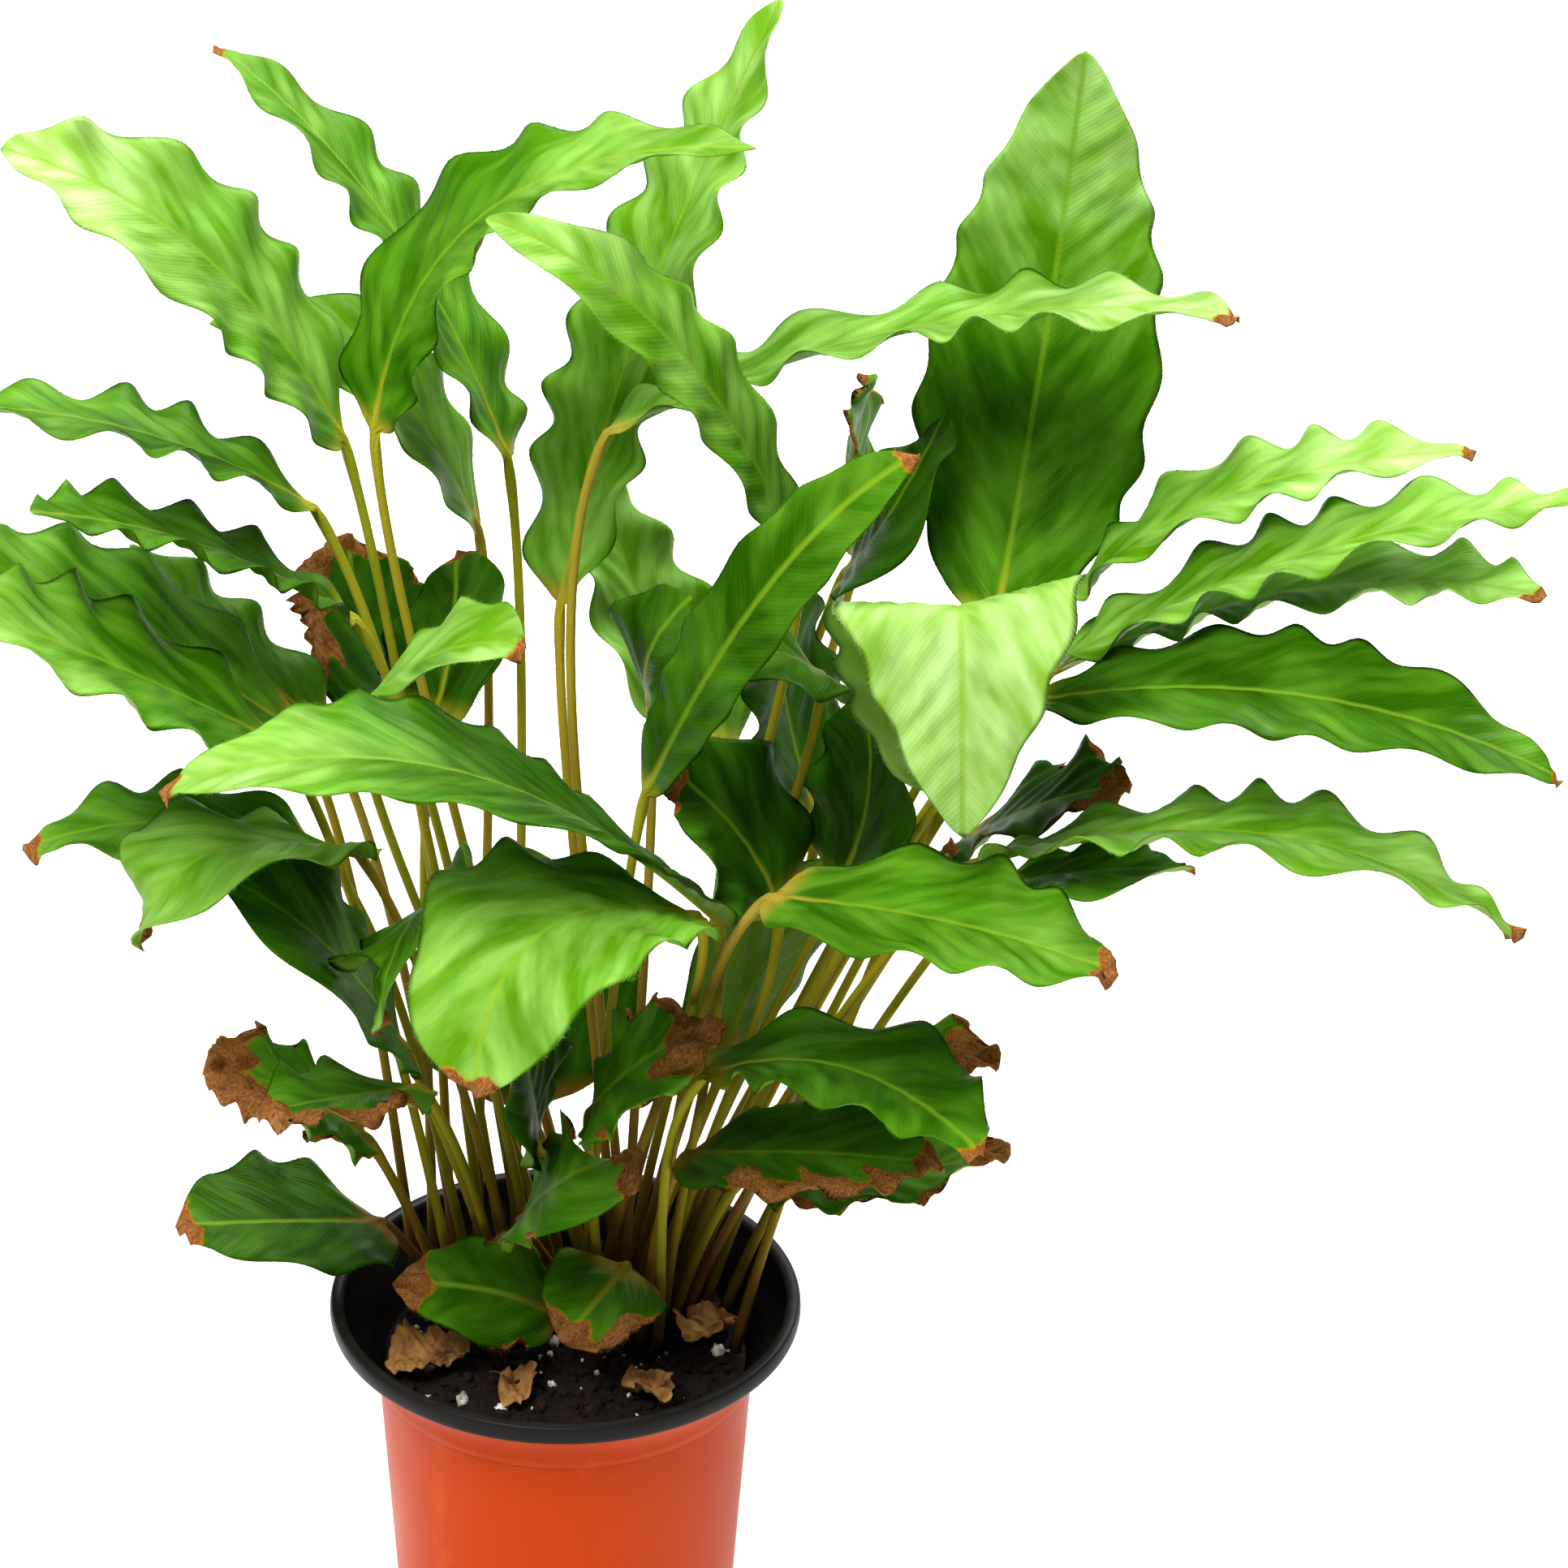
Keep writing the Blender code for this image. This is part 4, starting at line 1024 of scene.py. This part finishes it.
@dataclass
class DeadLeafBuilder:
    """Builds a crumpled papery sheet with torn, curled edges for each scrap."""

    rings: int = 70
    half_points: int = 16
    thickness: float = 0.3
    lowest: float = 77.6

    def build(self, scrap: DeadLeaf, number: int, paper: bpy.types.Material) -> bpy.types.Object:
        """Make one scrap: an oval sheet with a torn outline, creased by two random fields.

        Args:
            scrap: its sizes.
            number: seeds its creases.
            paper: the dry leaf material.

        Returns:
            The finished piece.
        """
        u = np.linspace(0.03, 0.97, self.rings)
        place = np.array(scrap.place)
        along = direction(scrap.heading, scrap.tilt)
        side = unit(np.cross((0, 0, 1), along))
        face = np.cross(along, side)
        spread = np.linspace(-1.0, 1.0, 2 * self.half_points + 1)
        phi = np.concatenate([spread[::-1], spread[1:-1]])[None, :]
        layer = np.concatenate([np.ones(len(spread)), -np.ones(len(spread) - 2)])[None, :]
        half = scrap.width / 2.0 * np.sin(math.pi * u) ** 0.55
        flat = np.stack([np.broadcast_to((u * scrap.length)[:, None], (len(u), phi.shape[1])),
                         half[:, None] * phi], axis=-1)
        crease = roughness_field(flat, 4.5, 50 + number)
        crinkle = roughness_field(flat, 1.6, 80 + number)
        torn = 1.0 + 0.16 * np.abs(phi) * roughness_field(flat, 2.4, 20 + number)
        arch = scrap.curl * 0.5 * np.sin(2 * math.pi * u)[:, None]
        edge = np.abs(phi)
        height = arch + scrap.curl * edge ** 2 * np.sin(math.pi * u)[:, None] ** 0.5
        height = height + 0.8 * crease * (0.4 + edge) + 0.3 * crinkle
        height = height + layer * self.thickness / 2 * np.sqrt(np.clip(1 - edge ** 6, 0, 1))
        height = np.maximum(height, self.lowest - place[2])
        points = (place + along * (scrap.length * (u - 0.5))[:, None, None]
                  + side * (half[:, None] * phi * torn)[..., None] + face * height[..., None])
        spokes = points.shape[1]
        skin = points.reshape(-1, 3)
        poles = np.array([points[0].mean(axis=0), points[-1].mean(axis=0)])
        faces = [ring_faces(len(u), spokes), fan_faces(0, spokes, len(skin), outward=False),
                 fan_faces((len(u) - 1) * spokes, spokes, len(skin) + 1, outward=True)]
        piece = make_piece(scrap.name + "_fine", np.vstack([skin, poles]), faces, paper)
        return settle(piece, scrap.name)


# ---------------------------------------------------------------- pot and soil


@dataclass
class Pot:
    """The thin two-tone shell: tapered wall, stepped collar, flared neck and rolled lip."""

    rim_radius: float = 54.0
    rim_height: float = 92.0
    base_radius: float = 38.6
    wall: float = 1.2
    lip_width: float = 3.6
    lip_drop: float = 4.6
    collar_height: float = 74.0
    collar_radius: float = 44.4
    collar_step: float = 1.2
    floor: float = 1.6
    segments: int = 192

    def wall_radius(self, height: float) -> float:
        """Outer radius of the tapered wall below the collar."""
        taper = (self.collar_radius - self.collar_step - self.base_radius) / self.collar_height
        return self.base_radius + taper * height

    def profile(self) -> tuple[Grid, int, int]:
        """The section from the bottom centre, out, up, over the lip and down inside.

        Returns:
            The (radius, height) points, and the first and last point of the orange skin.
        """
        lip_bottom = self.rim_height - self.lip_drop
        turn = np.linspace(0.0, 1.0, 9)
        heights = np.linspace(1.2, self.collar_height, 14)
        wall = np.stack([[self.wall_radius(h) for h in heights], heights], axis=1)
        neck = np.stack([
            self.collar_radius + 0.3 + (self.rim_radius - 2.6 - self.collar_radius - 0.3)
            * (0.12 * turn + 0.88 * turn ** 2.6),
            self.collar_height + 1.0 + (lip_bottom - self.collar_height - 1.0) * turn], axis=1)
        step = np.array([[self.collar_radius - 0.5, self.collar_height + 0.25],
                         [self.collar_radius, self.collar_height + 0.6]])
        bead = np.linspace(-0.5 * math.pi, 0.5 * math.pi, 13)
        middle = (self.rim_height + lip_bottom) / 2.0
        outer = np.stack([self.rim_radius - 1.1 + 1.1 * np.cos(bead) ** 0.7,
                          middle + self.lip_drop / 2.0 * np.sin(bead)], axis=1)
        roll = np.linspace(0.0, 0.5 * math.pi, 7)[1:]
        inner_lip = np.stack([
            self.rim_radius - 1.9 - (self.lip_width - 1.9) * np.sin(roll),
            self.rim_height - 1.6 * (1.0 - np.cos(roll))], axis=1)
        inside = np.array([
            [self.rim_radius - self.lip_width - 0.5, lip_bottom + 0.8],
            [self.collar_radius + 2.0, self.collar_height + 9.4],
            [self.collar_radius - 0.1, self.collar_height + 5.4],
            [self.collar_radius - self.wall, self.collar_height + 0.8],
            [self.wall_radius(self.collar_height) - self.wall, self.collar_height - 0.6],
            [self.wall_radius(self.floor) - self.wall, self.floor], [0.0, self.floor]])
        base = np.array([[0.0, 0.0], [self.base_radius - 1.2, 0.0],
                         [self.base_radius - 0.4, 0.35], [self.base_radius, 1.2]])
        orange_end = len(base) + len(wall) - 1 + len(step) + len(neck)
        section = np.vstack([base, wall[1:], step, neck, outer, inner_lip, inside])
        return section, 0, orange_end

    def build(self, orange: bpy.types.Material, black: bpy.types.Material) -> bpy.types.Object:
        """Turn the section about the pot's axis; the lip and the inside are black.

        Args:
            orange: the outer skin's plastic.
            black: the lip's and the inside's plastic.

        Returns:
            The finished pot.
        """
        section, first, last = self.profile()
        body = section[1:-1]
        angles = np.arange(self.segments) * 2 * math.pi / self.segments
        rings = np.stack([body[:, 0, None] * np.cos(angles), body[:, 0, None] * np.sin(angles),
                          np.repeat(body[:, 1, None], self.segments, axis=1)], axis=-1)
        skin = rings.reshape(-1, 3)
        poles = np.array([[0.0, 0.0, 0.0], [0.0, 0.0, self.floor]])
        faces = [ring_faces(len(body), self.segments),
                 fan_faces(0, self.segments, len(skin), outward=False),
                 fan_faces((len(body) - 1) * self.segments, self.segments, len(skin) + 1,
                           outward=True)]
        piece = make_piece("pot_fine", np.vstack([skin, poles]), faces, orange)
        piece.data.materials.append(black)
        ring_of_face = np.arange(len(faces[0])) // self.segments
        slots = np.concatenate([
            np.where((ring_of_face >= first) & (ring_of_face < last - 1), 0, 1),
            np.zeros(self.segments, int), np.ones(self.segments, int)])
        piece.data.polygons.foreach_set("material_index", slots.astype(np.int32))
        piece.data.set_sharp_from_angle(angle=math.radians(38))
        return settle(piece, "pot")


@dataclass
class Soil:
    """Loose peat to a little below the rim, with perlite grains and bark crumbs on it."""

    top: float = 77.0
    bottom: float = 1.9
    edge: float = 41.6
    foot_edge: float = 37.0
    rings: int = 90
    segments: int = 220
    grains: int = 75
    crumbs: int = 900

    def height(self, x: Grid, y: Grid) -> Grid:
        """Surface height: two random fields of 9 mm and 2.5 mm bumps, dished at the wall."""
        flat = np.stack([x, y], axis=-1)
        bumps = 0.75 * roughness_field(flat, 9.0, 11) + 0.38 * roughness_field(flat, 2.5, 12)
        bumps = bumps + 0.2 * roughness_field(flat, 1.1, 13)
        return self.top + bumps - 1.2 * ease(np.hypot(x, y), self.edge - 6.0, self.edge)

    def build(self, compost: bpy.types.Material) -> bpy.types.Object:
        """Make the bumpy top, the side against the pot's wall and the flat underside.

        Args:
            compost: the peat material.

        Returns:
            The finished soil.
        """
        radius = self.edge * np.linspace(0.0, 1.0, self.rings + 1)[1:] ** 0.9
        angles = np.arange(self.segments) * 2 * math.pi / self.segments
        x = radius[::-1, None] * np.cos(angles)
        y = radius[::-1, None] * np.sin(angles)
        top = np.stack([x, y, self.height(x, y)], axis=-1)
        low = np.stack([self.foot_edge * np.cos(angles), self.foot_edge * np.sin(angles),
                        np.full(self.segments, self.bottom)], axis=-1)[None]
        rings = np.concatenate([low, top])
        skin = rings.reshape(-1, 3)
        centre = float(self.height(np.array(0.0), np.array(0.0)))
        poles = np.array([[0.0, 0.0, self.bottom], [0.0, 0.0, centre]])
        faces = [ring_faces(len(rings), self.segments),
                 fan_faces(0, self.segments, len(skin), outward=False),
                 fan_faces((len(rings) - 1) * self.segments, self.segments, len(skin) + 1,
                           outward=True)]
        piece = make_piece("soil_fine", np.vstack([skin, poles]), faces, compost)
        return settle(piece, "soil")

    def scatter(self, name: str, count: int, sizes: tuple[float, float], seed: int,
                surface: bpy.types.Material) -> bpy.types.Object:
        """Lumps strewn on the surface: a rough small ball for each, half sunk in the peat.

        Args:
            name: the piece's name.
            count: how many lumps.
            sizes: smallest and largest diameter in millimetres.
            seed: picks their places and shapes.
            surface: their material.

        Returns:
            One piece that holds all the lumps.
        """
        random = np.random.default_rng(seed)
        rows, spokes = 5, 8
        tilt = np.linspace(-0.5 * math.pi, 0.5 * math.pi, rows + 2)[1:-1]
        angles = np.arange(spokes) * 2 * math.pi / spokes
        ball = np.stack([np.cos(tilt)[:, None] * np.cos(angles), np.cos(tilt)[:, None]
                         * np.sin(angles), np.repeat(np.sin(tilt)[:, None], spokes, axis=1)],
                        axis=-1).reshape(-1, 3)
        ball = np.vstack([ball, [[0, 0, -1], [0, 0, 1]]])
        size = sizes[0] + (sizes[1] - sizes[0]) * random.random(count) ** 3
        away = (self.edge - 2.0) * np.sqrt(random.random(count))
        around = random.uniform(0.0, 2.0 * math.pi, count)
        x, y = away * np.cos(around), away * np.sin(around)
        centre = np.stack([x, y, self.height(x, y) + 0.15 * size], axis=-1)
        dent = random.uniform(0.7, 1.2, size=(count, len(ball), 1))
        squash = random.uniform(0.6, 1.0, size=(count, 1, 3))
        lumps = centre[:, None, :] + ball[None] * dent * squash * (size / 2)[:, None, None]
        one = [*ring_faces(rows, spokes).tolist()]
        ends = [*fan_faces(0, spokes, rows * spokes, outward=False).tolist(),
                *fan_faces((rows - 1) * spokes, spokes, rows * spokes + 1, outward=True).tolist()]
        shift = (np.arange(count) * len(ball))[:, None, None]
        faces = [(np.array(one)[None] + shift).reshape(-1, 4),
                 (np.array(ends)[None] + shift).reshape(-1, 3)]
        piece = make_piece(name, lumps.reshape(-1, 3), faces, surface)
        return settle(piece, "soil")


# ---------------------------------------------------------------- studio


@dataclass
class Studio:
    """White paper floor, pale surround, and two soft lamps: one in front, one behind."""

    aim: tuple[float, float, float] = (47.4, 0.0, 225.4)
    distance: float = 1100.0
    look_down: float = 28.0
    roll: float = 1.31
    lens: float = 116.3
    sensor: float = 36.0
    floor_size: float = 6000.0
    floor_drop: float = 0.2
    surround_strength: float = 0.42

    def camera(self) -> bpy.types.Object:
        """Place the camera: it looks along +Y and down at the aim point."""
        pitch = math.radians(self.look_down)
        roll = math.radians(self.roll)
        ahead = np.array([0.0, math.cos(pitch), -math.sin(pitch)])
        level_up = np.array([0.0, math.sin(pitch), math.cos(pitch)])
        right = np.array([1.0, 0.0, 0.0]) * math.cos(roll) + level_up * math.sin(roll)
        up = level_up * math.cos(roll) - np.array([1.0, 0.0, 0.0]) * math.sin(roll)
        eye = (np.array(self.aim) - ahead * self.distance) * MM
        data = bpy.data.cameras.new("camera")
        data.lens = self.lens
        data.sensor_width = self.sensor
        data.clip_start = 0.05
        data.clip_end = 20.0
        made = bpy.data.objects.new("camera", data)
        turn = Matrix(np.stack([right, up, -ahead], axis=1).tolist()).to_4x4()
        made.matrix_world = Matrix.Translation(Vector(eye.tolist())) @ turn
        bpy.context.scene.collection.objects.link(made)
        bpy.context.scene.camera = made
        return made

    def lamp(self, name: str, place: tuple[float, float, float], size: float,
             power: float) -> bpy.types.Object:
        """One square soft lamp that faces the plant.

        Args:
            name: the lamp's name.
            place: its position in metres.
            size: its side in metres.
            power: its power in watts.

        Returns:
            The lamp.
        """
        data = bpy.data.lights.new(name, "AREA")
        data.shape = "SQUARE"
        data.size = size
        data.energy = power
        made = bpy.data.objects.new(name, data)
        made.location = place
        aim = Vector((0.03, 0.0, 0.2)) - made.location
        made.rotation_euler = aim.to_track_quat("-Z", "Y").to_euler()
        bpy.context.scene.collection.objects.link(made)
        return made

    def build(self, paper: bpy.types.Material) -> None:
        """Make the floor, the surround light, the lamps and the camera.

        Args:
            paper: the floor's material.
        """
        half = self.floor_size / 2.0
        low = -self.floor_drop
        corners = np.array([[-half, -half, low], [half, -half, low], [half, half, low],
                            [-half, half, low]])
        floor = make_piece("paper_floor", corners, [np.array([[0, 1, 2, 3]])], paper)
        world = bpy.data.worlds.new("studio_surround")
        world.use_nodes = True
        sky = world.node_tree.nodes["Background"]
        sky.inputs["Color"].default_value = (1.0, 1.0, 1.0, 1.0)
        sky.inputs["Strength"].default_value = self.surround_strength
        bpy.context.scene.world = world
        self.lamp("key_lamp", (-0.35, -0.75, 1.5), 0.8, 36.0)
        self.lamp("back_lamp", (0.35, 0.9, 1.3), 0.9, 26.0)
        self.camera()
        bpy.context.scene.view_settings.view_transform = "Standard"
        bpy.context.scene.view_settings.look = "Medium High Contrast"


# ---------------------------------------------------------------- the whole plant


def main() -> None:
    """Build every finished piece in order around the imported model, and note the sizes."""
    logging.basicConfig(level=logging.INFO, format="%(message)s")
    LOG.info("packed model: %d solids", len(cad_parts))

    # The black plastic's grey scuff colour is partly dust and partly a painted highlight on the
    # lip.
    Pot().build(PotPlastic("orange_pot_plastic", "#a63a00", "#b4561c", 0.40).build(),
                PotPlastic("black_pot_plastic", "#1f1d1c", "#766f66", 0.42).build())
    soil = Soil()
    soil.build(Compost().build())
    soil.scatter("perlite_grains", soil.grains, (0.9, 4.8), 31, Perlite().build())
    paper = DryLeaf().build()
    bark = Compost("#1c0d05", "#5c3416", "bark_crumb").build()
    soil.scatter("bark_crumbs", soil.crumbs, (0.6, 3.6), 32, bark)

    scraps = DeadLeafBuilder()
    for number, scrap in enumerate(DEAD_LEAVES):
        scraps.build(scrap, number, paper)

    leaves = LeafBuilder()
    tissue = LeafTissue().build()
    for number, leaf in enumerate(LEAVES):
        leaves.build(leaf, number, tissue)

    Studio().build(StudioPaper().build())


if __name__ == "__main__":
    main()
